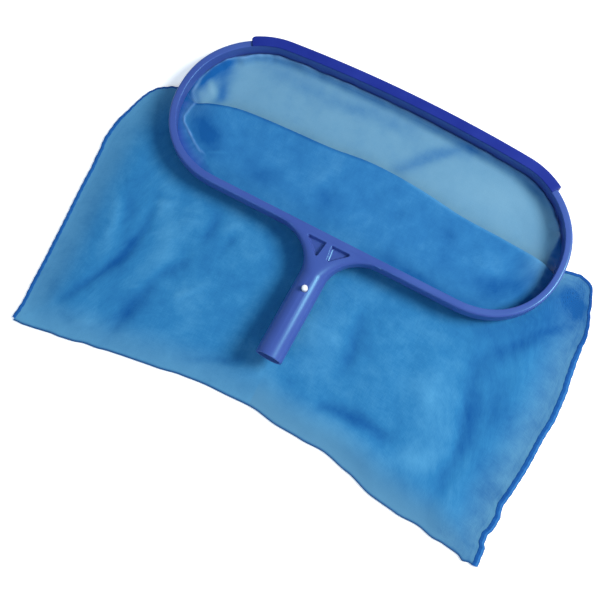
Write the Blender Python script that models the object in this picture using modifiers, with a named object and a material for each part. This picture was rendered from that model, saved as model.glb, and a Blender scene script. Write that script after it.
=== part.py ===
# Leaf skimmer net: a moulded hoop with its handle socket, a clip-on front lip, a mesh bag held
# in the hoop's channel by a corded hem and four snap-in strips, and a spring clip whose two
# buttons lock into a telescopic pole.
# Metres, +Z up. The net lies on its bag: X runs along the hoop, +Y points from the handle to the
# front lip, and z = 0 is the surface that it lies on.

from math import asin, atan2, copysign, cos, hypot, pi, radians, sin, sqrt

import bmesh
import bpy
from mathutils import Matrix, Vector

# Hoop, in its own frame: its widest line is y = 0 and its underside is z = 0.
HOOP_LENGTH = 0.430
HOOP_STRAIGHT = 0.268          # length of the front and rear members between the round ends
HOOP_HALF_DEPTH = 0.0803       # from the widest line to the rear member's outer face
HOOP_BOW = 0.0155              # how far the front member bows out beyond that
END_POWER = 2.15               # 2 is an ellipse, more is squarer
HOOP_HEIGHT = 0.016
HOOP_THICKNESS = 0.0076
HOOP_OUTER_ROUND = 0.0024
HOOP_INNER_ROUND = 0.0009
HOOP_FOOT_ROUND = 0.0005
CHANNEL_START = 0.0017         # outer wall, from the outer face inwards
CHANNEL_WIDTH = 0.0042
CHANNEL_DEPTH = 0.0125

# Handle socket and yoke.
TUBE_RADIUS = 0.014
TUBE_WALL = 0.0022
MOUTH_REACH = 0.207            # from the hoop's widest line to the end face
MOUTH_CHAMFER = 0.0006
BORE_BEYOND_BUTTON = 0.023     # how far the bore runs on past the buttons
YOKE_SPREAD = 0.044            # how far each side flares beyond the tube
YOKE_LENGTH = 0.036
YOKE_SINK = 0.0001             # keeps the yoke's top under the hoop's flat top
YOKE_ROOT = 0.0011             # how far the yoke runs into the rear member's outer wall
YOKE_KEY = 0.0034              # and over the channel, in the rear member's top
YOKE_KEY_FOOT = 0.0133
YOKE_SQUARENESS = 8.0
TUBE_SQUARENESS = 2.0
POCKET_HALF_WIDTH = 0.0249
POCKET_RIB = 0.0066            # rib between the two pockets, at the hoop
POCKET_RIB_END = 0.0110
POCKET_LENGTH = 0.0178
POCKET_DEPTH = 0.0080
POCKET_ROUND = 0.0014
POCKET_RIB_ROUND = 0.0007
POCKET_WALL = 0.0014           # from the rear member's outer face to the pockets

# Spring clip and its buttons.
BUTTON_REACH = 0.133           # from the hoop's widest line
BUTTON_RADIUS = 0.0030
BUTTON_HOLE_CLEARANCE = 0.0004
BUTTON_PROUD = 0.0052
BUTTON_DOME = 0.0018
BUTTON_FLANGE_RADIUS = 0.0042
BUTTON_FLANGE = 0.0010
FLANGE_PLAY = 0.0001            # more room between a flange and the bore
BUTTON_NECK_RADIUS = 0.0012
BUTTON_TAIL_RADIUS = 0.0022
BUTTON_TAIL = 0.0008
CLIP_THICKNESS = 0.0008
CLIP_WIDTH = 0.0080
CLIP_HOLE_CLEARANCE = 0.0003
CLIP_PAD = 0.0160              # flat end of each leg, which carries a button
CLIP_PAD_FRONT = 0.0070        # part of that pad beyond the button
CLIP_BEND_RADIUS = 0.0032
CLIP_BEND_INSET = 0.0210       # from the end face to the centre of the bend

# Front lip, snapped over the front member.
LIP_PROUD = 0.0040
LIP_TOP = 0.0013
LIP_HOOK = 0.0009
LIP_HOOK_REACH = 0.0014
LIP_OUTER_ROUND = 0.0022
LIP_EDGE_ROUND = 0.00055
LIP_CLEARANCE = 0.00015        # lifts the front so that the hook stays off the ground
LIP_END_ANGLE = 63.0           # where it stops on the round ends, in degrees

# Hem, cord and snap-in strips.
CORD_RADIUS = 0.0010
CORD_HEIGHT = 0.0096
HEM_INNER_RADIUS = 0.00135
HEM_OUTER_RADIUS = 0.00175
HEM_TAIL_THICKNESS = 0.0007
HEM_WALL_GAP = 0.00025
HEM_WRAP = 290.0               # how far the hem wraps the cord, in degrees
STRIP_FOOT = 0.0004
STRIP_HEIGHT = 0.0066
STRIP_NOSE = 0.0012
STRIP_END_GAP = 0.0006

# Bag, laid back under the handle.
CLOTH = 0.0012                 # thickness of a panel with its loft
BAG_HALF_WIDTH = 0.2625        # to the middle of the side seam
BAG_REACH = 0.2880             # from the hoop's widest line to the bottom corners
BAG_BOTTOM_RISE = 0.0360       # how far the bottom edge curves up between them
BAG_BOTTOM_POWER = 1.6
FOLD_REACH = 0.0160            # crest of the fold, in front of the hoop's widest line
FOLD_RADIUS = 0.0011
FOLD_POWER = 3                 # how late the crest drops towards its ends
POCKET_GAP = 0.0060            # open height between the two panels
SEAM_WIDTH = 0.0046
BINDING_TRIM = 0.0010          # clears the panels where they turn round the hoop
SEAM_START_HEIGHT = 0.0075     # height of the seam where it leaves the hoop
SEAM_FALL = 0.14               # share of the seam's run in which it comes down
HANG_FALL = 0.05               # share in which the back panel drops from the hoop
HEM_LEAVE = 0.016              # how far its rows first move into the mouth
HEM_SPREAD = 0.60              # share in which they come back
PROBE = 0.01                   # share of the hem over which its direction is taken
SHOULDER_RUN = 0.14            # share of the seam that runs outwards, before it turns back
SIDE_RISE = 0.045              # distance from the seams in which the panels part
BOTTOM_FALL = 0.12             # share of the run in which they meet at the bottom edge
# The side seam in shares: across from the hoop's end to the bag's widest line, and down from
# the hoop's widest line to the bottom corner.
SEAM_SHAPE = [
    (0.00, -0.002), (0.24, 0.003), (0.52, 0.017), (0.73, 0.066), (0.88, 0.153), (0.96, 0.243),
    (1.00, 0.382), (0.98, 0.556), (0.91, 0.747), (0.86, 0.910), (0.91, 1.000),
]

FIT = 0.0003                   # gap between pieces that touch
WELD = 0.000001
SHARP_ANGLE = 35.0             # edges sharper than this are drawn hard, in degrees
END_STEPS = 26
FRONT_STEPS = 10
REAR_STEPS = 4
ROUND_STEPS = 3
TUBE_STEPS = 40
BORE_STEPS = 36
BUTTON_STEPS = 24
DOME_STEPS = 4
CLIP_BEND_STEPS = 8
HEM_STEPS = 5
HEM_INNER_STEPS = 8
CORD_STEPS = 6
YOKE_SECTIONS = 9
MOUTH_COLUMNS = 20
SHOULDER_STEPS = 5
SEAM_ROWS = 15
SEAM_CROWDING = 1.4
SEAM_SMOOTHING = 6
LAP_ROWS = 6
FOLD_ROWS = 4

# Sizes that follow from the ones above.
HALF_LENGTH = HOOP_LENGTH / 2
HALF_STRAIGHT = HOOP_STRAIGHT / 2
END_REACH = HALF_LENGTH - HALF_STRAIGHT
FRONT_REACH = HOOP_HALF_DEPTH + HOOP_BOW
CHANNEL_END = CHANNEL_START + CHANNEL_WIDTH
TUBE_AXIS = HOOP_HEIGHT - TUBE_RADIUS
BORE_RADIUS = TUBE_RADIUS - TUBE_WALL
BORE_DEPTH = MOUTH_REACH - BUTTON_REACH + BORE_BEYOND_BUTTON
HEM_OUT = CHANNEL_END - HEM_WALL_GAP
HEM_IN = HEM_OUT - HEM_TAIL_THICKNESS
HEM_MIDDLE = (HEM_OUT + HEM_IN) / 2
CORD_INSET = HEM_OUT - HEM_OUTER_RADIUS
STRIP_OUT = CHANNEL_START + FIT
STRIP_IN = HEM_IN - FIT
FLANGE_TOP = sqrt(BORE_RADIUS ** 2 - BUTTON_FLANGE_RADIUS ** 2) - FIT - FLANGE_PLAY
PAD_HEIGHT = FLANGE_TOP - BUTTON_FLANGE - FIT - CLIP_THICKNESS / 2
SEAM_END_X = HALF_LENGTH - HEM_MIDDLE

# Pose of the hoop over the cloth: the front member rests on one layer, and the lower button on
# the two panels with the open pocket between them.
FRONT_REST = CLOTH + FIT + LIP_CLEARANCE
LOWER_MIDDLE = CLOTH * 1.5 + POCKET_GAP
BUTTON_REST = LOWER_MIDDLE + CLOTH / 2 + FIT
BUTTON_DROP = TUBE_RADIUS + BUTTON_PROUD - TUBE_AXIS
REST_RUN = FRONT_REACH + BUTTON_REACH
TILT = atan2(BUTTON_DROP, REST_RUN) + asin((BUTTON_REST - FRONT_REST) / hypot(REST_RUN, BUTTON_DROP))


def to_ground(x, y, z):
    """Where a point of the hoop's frame lies over the resting surface."""
    run = y - FRONT_REACH
    return Vector((x,
                   FRONT_REACH + run * cos(TILT) + z * sin(TILT),
                   FRONT_REST - run * sin(TILT) + z * cos(TILT)))


def smooth(share):
    share = min(1.0, max(0.0, share))
    return share * share * (3 - 2 * share)


def blend(start, end, share):
    return start + (end - start) * share


# ---- collections, materials and small tools ----

def fresh_scene():
    for item in list(bpy.data.objects):
        bpy.data.objects.remove(item, do_unlink=True)


def new_collection(name):
    collection = bpy.data.collections.new(name)
    bpy.context.scene.collection.children.link(collection)
    return collection


def new_material(name, colour, roughness, metallic=0.0):
    material = bpy.data.materials.new(name)
    material.use_nodes = True
    shader = material.node_tree.nodes["Principled BSDF"]
    shader.inputs["Base Color"].default_value = (*colour, 1.0)
    shader.inputs["Roughness"].default_value = roughness
    shader.inputs["Metallic"].default_value = metallic
    material.diffuse_color = (*colour, 1.0)
    return material


def add_object(name, data, collection, parent, material=None):
    item = bpy.data.objects.new(name, data)
    collection.objects.link(item)
    item.parent = parent
    if material:
        item.data.materials.append(material)
    return item


def mesh_from(bm, name):
    mesh = bpy.data.meshes.new(name)
    bmesh.ops.recalc_face_normals(bm, faces=bm.faces)
    bm.to_mesh(mesh)
    bm.free()
    mesh.shade_smooth()
    mesh.set_sharp_from_angle(angle=radians(SHARP_ANGLE))
    return mesh


def as_cutter(item):
    item.hide_render = True
    item.display_type = "WIRE"
    return item


def boolean(item, other, operation):
    modifier = item.modifiers.new(other.name, "BOOLEAN")
    modifier.operation = operation
    modifier.object = as_cutter(other)


def poly_spline(curve, points, cyclic):
    spline = curve.splines.new("POLY")
    spline.points.add(len(points) - 1)
    for knot, point in zip(spline.points, points):
        knot.co = (point[0], point[1], point[2] if len(point) > 2 else 0.0, 1.0)
    spline.use_cyclic_u = cyclic


def curve_to_mesh(item, name):
    """A welded mesh of what a curve object shows; the curve is removed."""
    bpy.context.view_layer.update()
    graph = bpy.context.evaluated_depsgraph_get()
    mesh = bpy.data.meshes.new_from_object(item.evaluated_get(graph))
    bpy.data.objects.remove(item)
    bm = bmesh.new()
    bm.from_mesh(mesh)
    bpy.data.meshes.remove(mesh)
    bmesh.ops.remove_doubles(bm, verts=bm.verts, dist=WELD)
    return mesh_from(bm, name)


def sweep(name, path, profile, cyclic):
    """A flat profile carried along a path that runs anticlockwise seen from above.

    The profile's points are (inwards from the path, up).
    """
    scene_collection = bpy.context.scene.collection
    section = bpy.data.curves.new(name + "_section", "CURVE")
    section.dimensions = "2D"
    poly_spline(section, [(-inset, height) for inset, height in profile], True)
    section_object = bpy.data.objects.new(section.name, section)
    scene_collection.objects.link(section_object)
    rail = bpy.data.curves.new(name + "_rail", "CURVE")
    rail.dimensions = "3D"
    rail.twist_mode = "Z_UP"
    rail.bevel_mode = "OBJECT"
    rail.bevel_object = section_object
    rail.use_fill_caps = not cyclic
    poly_spline(rail, path, cyclic)
    rail_object = bpy.data.objects.new(rail.name, rail)
    scene_collection.objects.link(rail_object)
    mesh = curve_to_mesh(rail_object, name)
    bpy.data.objects.remove(section_object)
    return mesh


def plate(name, outline, bottom, top):
    """A flat outline given thickness between two heights."""
    flat = bpy.data.curves.new(name + "_outline", "CURVE")
    flat.dimensions = "2D"
    flat.fill_mode = "BOTH"
    flat.extrude = (top - bottom) / 2
    poly_spline(flat, outline, True)
    flat_object = bpy.data.objects.new(flat.name, flat)
    bpy.context.scene.collection.objects.link(flat_object)
    mesh = curve_to_mesh(flat_object, name)
    mesh.transform(Matrix.Translation((0, 0, (top + bottom) / 2)))
    return mesh


def cylinder(name, radius, length, place, steps):
    bm = bmesh.new()
    bmesh.ops.create_cone(bm, cap_ends=True, segments=steps, radius1=radius, radius2=radius,
                          depth=length, matrix=place)
    return mesh_from(bm, name)


def rounded(corners):
    """A closed outline from (x, y, radius) corners, with an arc at each."""
    outline = []
    for index, (x, y, radius) in enumerate(corners):
        here = Vector((x, y))
        before = Vector(corners[index - 1][:2]) - here
        after = Vector(corners[(index + 1) % len(corners)][:2]) - here
        if radius == 0:
            outline.append((x, y))
            continue
        half = before.angle(after) / 2
        middle = (before.normalized() + after.normalized()).normalized()
        centre = here + middle * radius / sin(half)
        start = here + before.normalized() * radius / (sin(half) / cos(half)) - centre
        end = here + after.normalized() * radius / (sin(half) / cos(half)) - centre
        turn = start.angle_signed(end)
        for step in range(ROUND_STEPS + 1):
            angle = -turn * step / ROUND_STEPS
            spoke = Vector((start.x * cos(angle) - start.y * sin(angle),
                            start.x * sin(angle) + start.y * cos(angle)))
            outline.append(tuple(centre + spoke))
    return outline


# ---- the hoop's outline ----

def with_bow(x, y):
    """The front half pushed out by the front member's bow."""
    share = max(0.0, y / HOOP_HALF_DEPTH)
    return Vector((x, y + HOOP_BOW * (1 - (x / HALF_LENGTH) ** 2) * share ** 2))


def end_point(side, angle):
    across = abs(cos(angle)) ** (2 / END_POWER)
    along = copysign(abs(sin(angle)) ** (2 / END_POWER), sin(angle))
    return with_bow(side * (HALF_STRAIGHT + END_REACH * across), HOOP_HALF_DEPTH * along)


def hoop_stations():
    """Points round the hoop's outer face, anticlockwise from the rear of the right end."""
    turns = [-pi / 2 + pi * step / END_STEPS for step in range(END_STEPS + 1)]
    right = [end_point(1, turn) for turn in turns]
    front = [with_bow(blend(HALF_STRAIGHT, -HALF_STRAIGHT, step / FRONT_STEPS), HOOP_HALF_DEPTH)
             for step in range(1, FRONT_STEPS)]
    left = [end_point(-1, turn) for turn in reversed(turns)]
    rear = [with_bow(blend(-HALF_STRAIGHT, HALF_STRAIGHT, step / REAR_STEPS), -HOOP_HALF_DEPTH)
            for step in range(1, REAR_STEPS)]
    return right + front + left + rear


STATIONS = hoop_stations()
LEFT_START = END_STEPS + FRONT_STEPS
LEFT_END = LEFT_START + END_STEPS


def inset_point(index, inset):
    """A station moved inwards, square to the outline."""
    here = STATIONS[index % len(STATIONS)]
    before = (here - STATIONS[index % len(STATIONS) - 1]).normalized()
    after = (STATIONS[(index + 1) % len(STATIONS)] - here).normalized()
    along = (before + after).normalized()
    return here + Vector((-along.y, along.x)) * inset


def part_of_loop(first, last, trim):
    """The stations from one to another, with both ends drawn in."""
    path = [STATIONS[index % len(STATIONS)].copy() for index in range(first, last + 1)]
    path[0] += (path[1] - path[0]).normalized() * trim
    path[-1] += (path[-2] - path[-1]).normalized() * trim
    return path


# ---- hoop, yoke and handle socket ----

def handle_section(y, half_width, top, bottom, power):
    """One ring of the loft: a squared oval that turns into the tube's circle."""
    middle = (top + bottom) / 2
    half_height = (top - bottom) / 2
    ring = []
    for step in range(TUBE_STEPS):
        angle = 2 * pi * step / TUBE_STEPS
        reach = (abs(cos(angle)) ** power + abs(sin(angle)) ** power) ** (-1 / power)
        ring.append(Vector((half_width * reach * cos(angle), y, middle + half_height * reach * sin(angle))))
    return ring


def handle_rings():
    flare_end = -HOOP_HALF_DEPTH + YOKE_SINK
    root = [(YOKE_KEY, YOKE_KEY_FOOT), (YOKE_ROOT + YOKE_SINK, YOKE_KEY_FOOT), (YOKE_ROOT, YOKE_SINK)]
    rings = [handle_section(-HOOP_HALF_DEPTH + inset, TUBE_RADIUS + YOKE_SPREAD,
                            HOOP_HEIGHT - YOKE_SINK, foot, YOKE_SQUARENESS) for inset, foot in root]
    for step in range(YOKE_SECTIONS + 1):
        turn = pi / 2 * (1 - step / YOKE_SECTIONS)
        share = 1 - sin(turn)
        rings.append(handle_section(
            flare_end - YOKE_LENGTH * share,
            TUBE_RADIUS + YOKE_SPREAD * (1 - cos(turn)),
            HOOP_HEIGHT - YOKE_SINK * (1 - share),
            blend(YOKE_SINK, TUBE_AXIS - TUBE_RADIUS, smooth(share)),
            blend(YOKE_SQUARENESS, TUBE_SQUARENESS, sqrt(share))))
    tube_bottom = TUBE_AXIS - TUBE_RADIUS
    rings.append(handle_section(-MOUTH_REACH + MOUTH_CHAMFER, TUBE_RADIUS, HOOP_HEIGHT, tube_bottom,
                                TUBE_SQUARENESS))
    rings.append(handle_section(-MOUTH_REACH, TUBE_RADIUS - MOUTH_CHAMFER, HOOP_HEIGHT - MOUTH_CHAMFER,
                                tube_bottom + MOUTH_CHAMFER, TUBE_SQUARENESS))
    return rings


def loft(name, rings):
    bm = bmesh.new()
    loops = [[bm.verts.new(point) for point in ring] for ring in rings]
    for near, far in zip(loops, loops[1:]):
        for index in range(len(near)):
            follow = (index + 1) % len(near)
            bm.faces.new((near[index], near[follow], far[follow], far[index]))
    bm.faces.new(loops[0])
    bm.faces.new(list(reversed(loops[-1])))
    return mesh_from(bm, name)


def pocket_outline(side):
    back = -HOOP_HALF_DEPTH - POCKET_WALL
    corners = [(side * POCKET_HALF_WIDTH, back, POCKET_ROUND),
               (side * POCKET_RIB / 2, back, POCKET_RIB_ROUND),
               (side * POCKET_RIB_END / 2, back - POCKET_LENGTH, POCKET_ROUND)]
    return rounded(corners if side > 0 else corners[::-1])


def make_hoop(parts, cutters, rig, material):
    profile = rounded([(0, 0, HOOP_FOOT_ROUND), (0, HOOP_HEIGHT, HOOP_OUTER_ROUND),
                       (HOOP_THICKNESS, HOOP_HEIGHT, HOOP_INNER_ROUND),
                       (HOOP_THICKNESS, 0, HOOP_FOOT_ROUND),
                       (CHANNEL_END, 0, 0), (CHANNEL_END, CHANNEL_DEPTH, 0),
                       (CHANNEL_START, CHANNEL_DEPTH, 0), (CHANNEL_START, 0, 0)])
    hoop = add_object("hoop_frame", sweep("hoop_frame", STATIONS, profile, True), parts, rig, material)
    handle = add_object("handle_form", loft("handle_form", handle_rings()), cutters, rig)
    boolean(hoop, handle, "UNION")
    for side, word in ((-1, "left"), (1, "right")):
        mesh = plate("pocket_" + word, pocket_outline(side), HOOP_HEIGHT - POCKET_DEPTH,
                     HOOP_HEIGHT + POCKET_DEPTH)
        boolean(hoop, add_object("pocket_" + word, mesh, cutters, rig), "DIFFERENCE")
    along = Matrix.Translation((0, -MOUTH_REACH, TUBE_AXIS)) @ Matrix.Rotation(pi / 2, 4, "X")
    bore = add_object("bore_cut", cylinder("bore_cut", BORE_RADIUS, 2 * BORE_DEPTH, along, BORE_STEPS),
                      cutters, rig)
    boolean(hoop, bore, "DIFFERENCE")
    across = Matrix.Translation((0, -BUTTON_REACH, TUBE_AXIS))
    holes = add_object("button_holes", cylinder("button_holes", BUTTON_RADIUS + BUTTON_HOLE_CLEARANCE,
                                                3 * TUBE_RADIUS, across, BUTTON_STEPS), cutters, rig)
    boolean(hoop, holes, "DIFFERENCE")


# ---- front lip ----

def make_lip(parts, rig, material):
    first = round((LIP_END_ANGLE + 90.0) / (180.0 / END_STEPS))
    last = LEFT_START + END_STEPS - first
    profile = rounded([
        (-FIT, -FIT, 0), (-FIT, HOOP_HEIGHT + FIT, 0),
        (HOOP_THICKNESS, HOOP_HEIGHT + FIT, 0),
        (HOOP_THICKNESS, HOOP_HEIGHT + FIT + LIP_TOP, LIP_EDGE_ROUND),
        (-LIP_PROUD, HOOP_HEIGHT + FIT + LIP_TOP, LIP_OUTER_ROUND),
        (-LIP_PROUD, -FIT - LIP_HOOK, LIP_EDGE_ROUND),
        (LIP_HOOK_REACH, -FIT - LIP_HOOK, 0), (LIP_HOOK_REACH, -FIT, 0)])
    add_object("front_lip", sweep("front_lip", part_of_loop(first, last, 0.0), profile, False),
               parts, rig, material)


# ---- hem, cord and snap-in strips ----

def arc(centre, radius, start, end, steps):
    return [(centre[0] + radius * cos(radians(blend(start, end, step / steps))),
             centre[1] + radius * sin(radians(blend(start, end, step / steps))))
            for step in range(steps + 1)]


def make_hem(parts, rig, material):
    """The mouth hem wraps the cord and its sewn tail leaves the channel by the inner wall."""
    centre = (CORD_INSET, CORD_HEIGHT)
    reach = HEM_IN - CORD_INSET
    junction = -atan2(sqrt(HEM_INNER_RADIUS ** 2 - reach ** 2), reach) * 180 / pi
    profile = [(HEM_OUT, 0.0)]
    profile += arc(centre, HEM_OUTER_RADIUS, 0.0, HEM_WRAP, HEM_STEPS)
    profile += arc(centre, HEM_INNER_RADIUS, HEM_WRAP, junction, HEM_INNER_STEPS)
    profile.append((HEM_IN, 0.0))
    add_object("mouth_hem", sweep("mouth_hem", STATIONS, profile, True), parts, rig, material)


def make_cord(parts, rig, material):
    profile = arc((CORD_INSET, CORD_HEIGHT), CORD_RADIUS, 0.0, 360.0, CORD_STEPS)[:-1]
    add_object("hem_cord", sweep("hem_cord", STATIONS, profile, True), parts, rig, material)


def make_strips(parts, rig, material):
    top = STRIP_FOOT + STRIP_HEIGHT
    profile = [(STRIP_OUT, STRIP_FOOT), (STRIP_OUT, top - STRIP_NOSE), ((STRIP_OUT + STRIP_IN) / 2, top),
               (STRIP_IN, top - STRIP_NOSE), (STRIP_IN, STRIP_FOOT)]
    runs = {"retainer_right": (0, END_STEPS), "retainer_front": (END_STEPS, LEFT_START),
            "retainer_left": (LEFT_START, LEFT_END), "retainer_rear": (LEFT_END, len(STATIONS))}
    for name, (first, last) in runs.items():
        path = part_of_loop(first, last, STRIP_END_GAP)
        add_object(name, sweep(name, path, profile, False), parts, rig, material)


# ---- spring clip and buttons ----

def clip_line():
    """Middle of the spring's strip, (y, height above the tube's axis), from the upper pad round."""
    pad_end = -BUTTON_REACH + CLIP_PAD_FRONT
    bend = -MOUTH_REACH + CLIP_BEND_INSET
    leg = [(pad_end, PAD_HEIGHT), (pad_end - CLIP_PAD, PAD_HEIGHT)]
    turn = [(bend - CLIP_BEND_RADIUS * sin(pi * step / CLIP_BEND_STEPS),
             CLIP_BEND_RADIUS * cos(pi * step / CLIP_BEND_STEPS))
            for step in range(CLIP_BEND_STEPS + 1)]
    return leg + turn + [(y, -height) for y, height in reversed(leg)]


def make_clip(parts, cutters, rig, material):
    bm = bmesh.new()
    line = [bm.verts.new((-CLIP_WIDTH / 2, y, TUBE_AXIS + height)) for y, height in clip_line()]
    edges = [bm.edges.new(pair) for pair in zip(line, line[1:])]
    grown = bmesh.ops.extrude_edge_only(bm, edges=edges)["geom"]
    bmesh.ops.translate(bm, vec=(CLIP_WIDTH, 0, 0),
                        verts=[item for item in grown if isinstance(item, bmesh.types.BMVert)])
    clip = add_object("spring_clip", mesh_from(bm, "spring_clip"), parts, rig, material)
    shell = clip.modifiers.new("thickness", "SOLIDIFY")
    shell.thickness = CLIP_THICKNESS
    shell.offset = 0.0
    across = Matrix.Translation((0, -BUTTON_REACH, TUBE_AXIS))
    holes = cylinder("clip_holes", BUTTON_NECK_RADIUS + CLIP_HOLE_CLEARANCE, 2 * TUBE_RADIUS, across,
                     BUTTON_STEPS // 2)
    boolean(clip, add_object("clip_holes", holes, cutters, rig), "DIFFERENCE")


def button_profile():
    """(radius, distance from the tube's axis), from the dome's tip down to the riveted tail."""
    tip = TUBE_RADIUS + BUTTON_PROUD
    turns = [pi / 2 * step / DOME_STEPS for step in range(DOME_STEPS + 1)]
    dome = [(BUTTON_RADIUS * sin(turn), tip - BUTTON_DOME * (1 - cos(turn))) for turn in turns]
    flange_foot = FLANGE_TOP - BUTTON_FLANGE
    tail_top = PAD_HEIGHT - CLIP_THICKNESS / 2 - FIT
    return dome + [
        (BUTTON_RADIUS, FLANGE_TOP), (BUTTON_FLANGE_RADIUS, FLANGE_TOP),
        (BUTTON_FLANGE_RADIUS, flange_foot), (BUTTON_NECK_RADIUS, flange_foot),
        (BUTTON_NECK_RADIUS, tail_top), (BUTTON_TAIL_RADIUS, tail_top),
        (BUTTON_TAIL_RADIUS, tail_top - BUTTON_TAIL), (0.0, tail_top - BUTTON_TAIL)]


def make_button(name, upwards, parts, rig, material):
    bm = bmesh.new()
    line = [bm.verts.new((radius, 0, height)) for radius, height in button_profile()]
    for pair in zip(line, line[1:]):
        bm.edges.new(pair)
    mesh = bpy.data.meshes.new(name)
    bm.to_mesh(mesh)
    bm.free()
    button = add_object(name, mesh, parts, rig, material)
    button.location = (0, -BUTTON_REACH, TUBE_AXIS)
    button.rotation_euler = (0 if upwards else pi, 0, 0)
    turning = button.modifiers.new("turned", "SCREW")
    turning.steps = BUTTON_STEPS
    turning.render_steps = BUTTON_STEPS
    turning.use_merge_vertices = True
    turning.merge_threshold = WELD


# ---- bag ----

def along_path(points, share):
    """The point at a share of a polyline's length."""
    lengths = [(after - before).length for before, after in zip(points, points[1:])]
    left = share * sum(lengths)
    for index, length in enumerate(lengths):
        if left <= length or index == len(lengths) - 1:
            return points[index].lerp(points[index + 1], min(1.0, left / length))
        left -= length
    return points[-1]


def curve_through(points, steps):
    """A smooth curve through the points (Catmull-Rom)."""
    padded = [points[0] * 2 - points[1]] + points + [points[-1] * 2 - points[-2]]
    curve = []
    for a, b, c, d in zip(padded, padded[1:], padded[2:], padded[3:]):
        for step in range(steps):
            t = step / steps
            curve.append((b * 2 + (c - a) * t + (a * 2 - b * 5 + c * 4 - d) * t ** 2
                          + (b * 3 - a - c * 3 + d) * t ** 3) / 2)
    return curve + [points[-1]]


def seam_height(share):
    """Height of the seam's middle over the ground, at a share of its run."""
    return blend(SEAM_START_HEIGHT, CLOTH + FIT / 2, smooth(share / SEAM_FALL))


def seam_stations():
    """(share of the run, point) along the right side seam, closer together at the shoulder."""
    plan = [Vector((blend(SEAM_END_X, BAG_HALF_WIDTH, across), -BAG_REACH * down, 0))
            for across, down in SEAM_SHAPE]
    curve = curve_through(plan, SEAM_SMOOTHING)
    shoulder = [SHOULDER_RUN * step / SHOULDER_STEPS for step in range(SHOULDER_STEPS)]
    side = [blend(SHOULDER_RUN, 1.0, (step / SEAM_ROWS) ** SEAM_CROWDING) for step in range(SEAM_ROWS + 1)]
    return [(share, along_path(curve, share)) for share in shoulder + side]


SEAM = seam_stations()
SEAM_EDGE = SEAM_WIDTH / 2 + FIT


def seam_edge(station, side):
    """Edge of a panel beside the seam binding, in plan."""
    here = SEAM[station][1]
    before = (here - SEAM[max(0, station - 1)][1]).normalized()
    after = (SEAM[min(len(SEAM) - 1, station + 1)][1] - here).normalized()
    along = (before + after).normalized()
    edge = here + Vector((along.y, -along.x, 0)) * SEAM_EDGE
    return Vector((side * edge.x, edge.y, 0))


UPPER_CORNER = seam_edge(0, 1)
SHOULDER_CORNER = seam_edge(SHOULDER_STEPS, 1)
LOWER_CORNER = seam_edge(len(SEAM) - 1, 1)


def near_seam(point):
    """(how close a point in plan is to a seam, from 0 to 1; share of the seam's run there)."""
    here = Vector((abs(point.x), point.y, 0))
    nearest = (1.0, 0.0)
    for (share, start), (next_share, end) in zip(SEAM, SEAM[1:]):
        step = end - start
        part = min(1.0, max(0.0, (here - start).dot(step) / step.length_squared))
        distance = (here - start - step * part).length
        nearest = min(nearest, (distance, blend(share, next_share, part)))
    return 1 - smooth((nearest[0] - SEAM_EDGE) / SIDE_RISE), nearest[1]


def row_share(row):
    """How far down the side of the bag a row lies."""
    return (SEAM[SHOULDER_STEPS + row][0] - SHOULDER_RUN) / (1 - SHOULDER_RUN)


def column_share(column):
    """How far across the bag's bottom a column ends."""
    span = UPPER_CORNER.x / SHOULDER_CORNER.x
    if column < SHOULDER_STEPS:
        return (1 - seam_edge(SHOULDER_STEPS - column, 1).x / SHOULDER_CORNER.x) / 2
    if column > SHOULDER_STEPS + MOUTH_COLUMNS:
        return 1 - column_share(2 * SHOULDER_STEPS + MOUTH_COLUMNS - column)
    return blend((1 - span) / 2, (1 + span) / 2, (column - SHOULDER_STEPS) / MOUTH_COLUMNS)


def mouth_share(column):
    """How far along the mouth a column starts; None on the shoulders."""
    share = (column - SHOULDER_STEPS) / MOUTH_COLUMNS
    return share if 0 <= share <= 1 else None


def shoulder_point(column):
    if column < SHOULDER_STEPS:
        return seam_edge(SHOULDER_STEPS - column, -1)
    return seam_edge(column - SHOULDER_STEPS - MOUTH_COLUMNS, 1)


def hem_run(first, last):
    """The hem's foot over the ground, along part of the hoop."""
    points = [inset_point(index, HEM_MIDDLE) for index in range(first, last + 1)]
    return [to_ground(point.x, point.y, 0.0) for point in points]


RIGHT_END = END_STEPS // 2
LEFT_MIDDLE = LEFT_START + END_STEPS // 2
FRONT_HEM = list(reversed(hem_run(RIGHT_END + 1, LEFT_MIDDLE - 1)))
REAR_HEM = hem_run(LEFT_MIDDLE + 1, len(STATIONS) + RIGHT_END - 1)


def cloth_under(point):
    """Height of a panel's middle just under the hoop's foot."""
    return point.z - FIT - CLOTH / 2


def down_panel(top, column, row):
    """A point in plan between a panel's upper edge and the bag's bottom edge."""
    across = column_share(column)
    down = row_share(row)
    x = blend(-LOWER_CORNER.x, LOWER_CORNER.x, across)
    rise = BAG_BOTTOM_RISE * (1 - abs(x / LOWER_CORNER.x) ** BAG_BOTTOM_POWER)
    plan = Vector((top.x, top.y, 0)).lerp(Vector((x, LOWER_CORNER.y + rise, 0)), down)
    bulge = seam_edge(SHOULDER_STEPS + row, 1) - SHOULDER_CORNER.lerp(LOWER_CORNER, down)
    return plan + Vector((bulge.x * (2 * across - 1), bulge.y, 0))


def lower_height(plan, down):
    """Middle height of the front panel's lower lap, over the open pocket."""
    closeness, share = near_seam(plan)
    inside = (1 - closeness) * smooth((1 - down) / BOTTOM_FALL)
    return blend(seam_height(share) + (CLOTH + FIT) / 2, LOWER_MIDDLE, inside)


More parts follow.
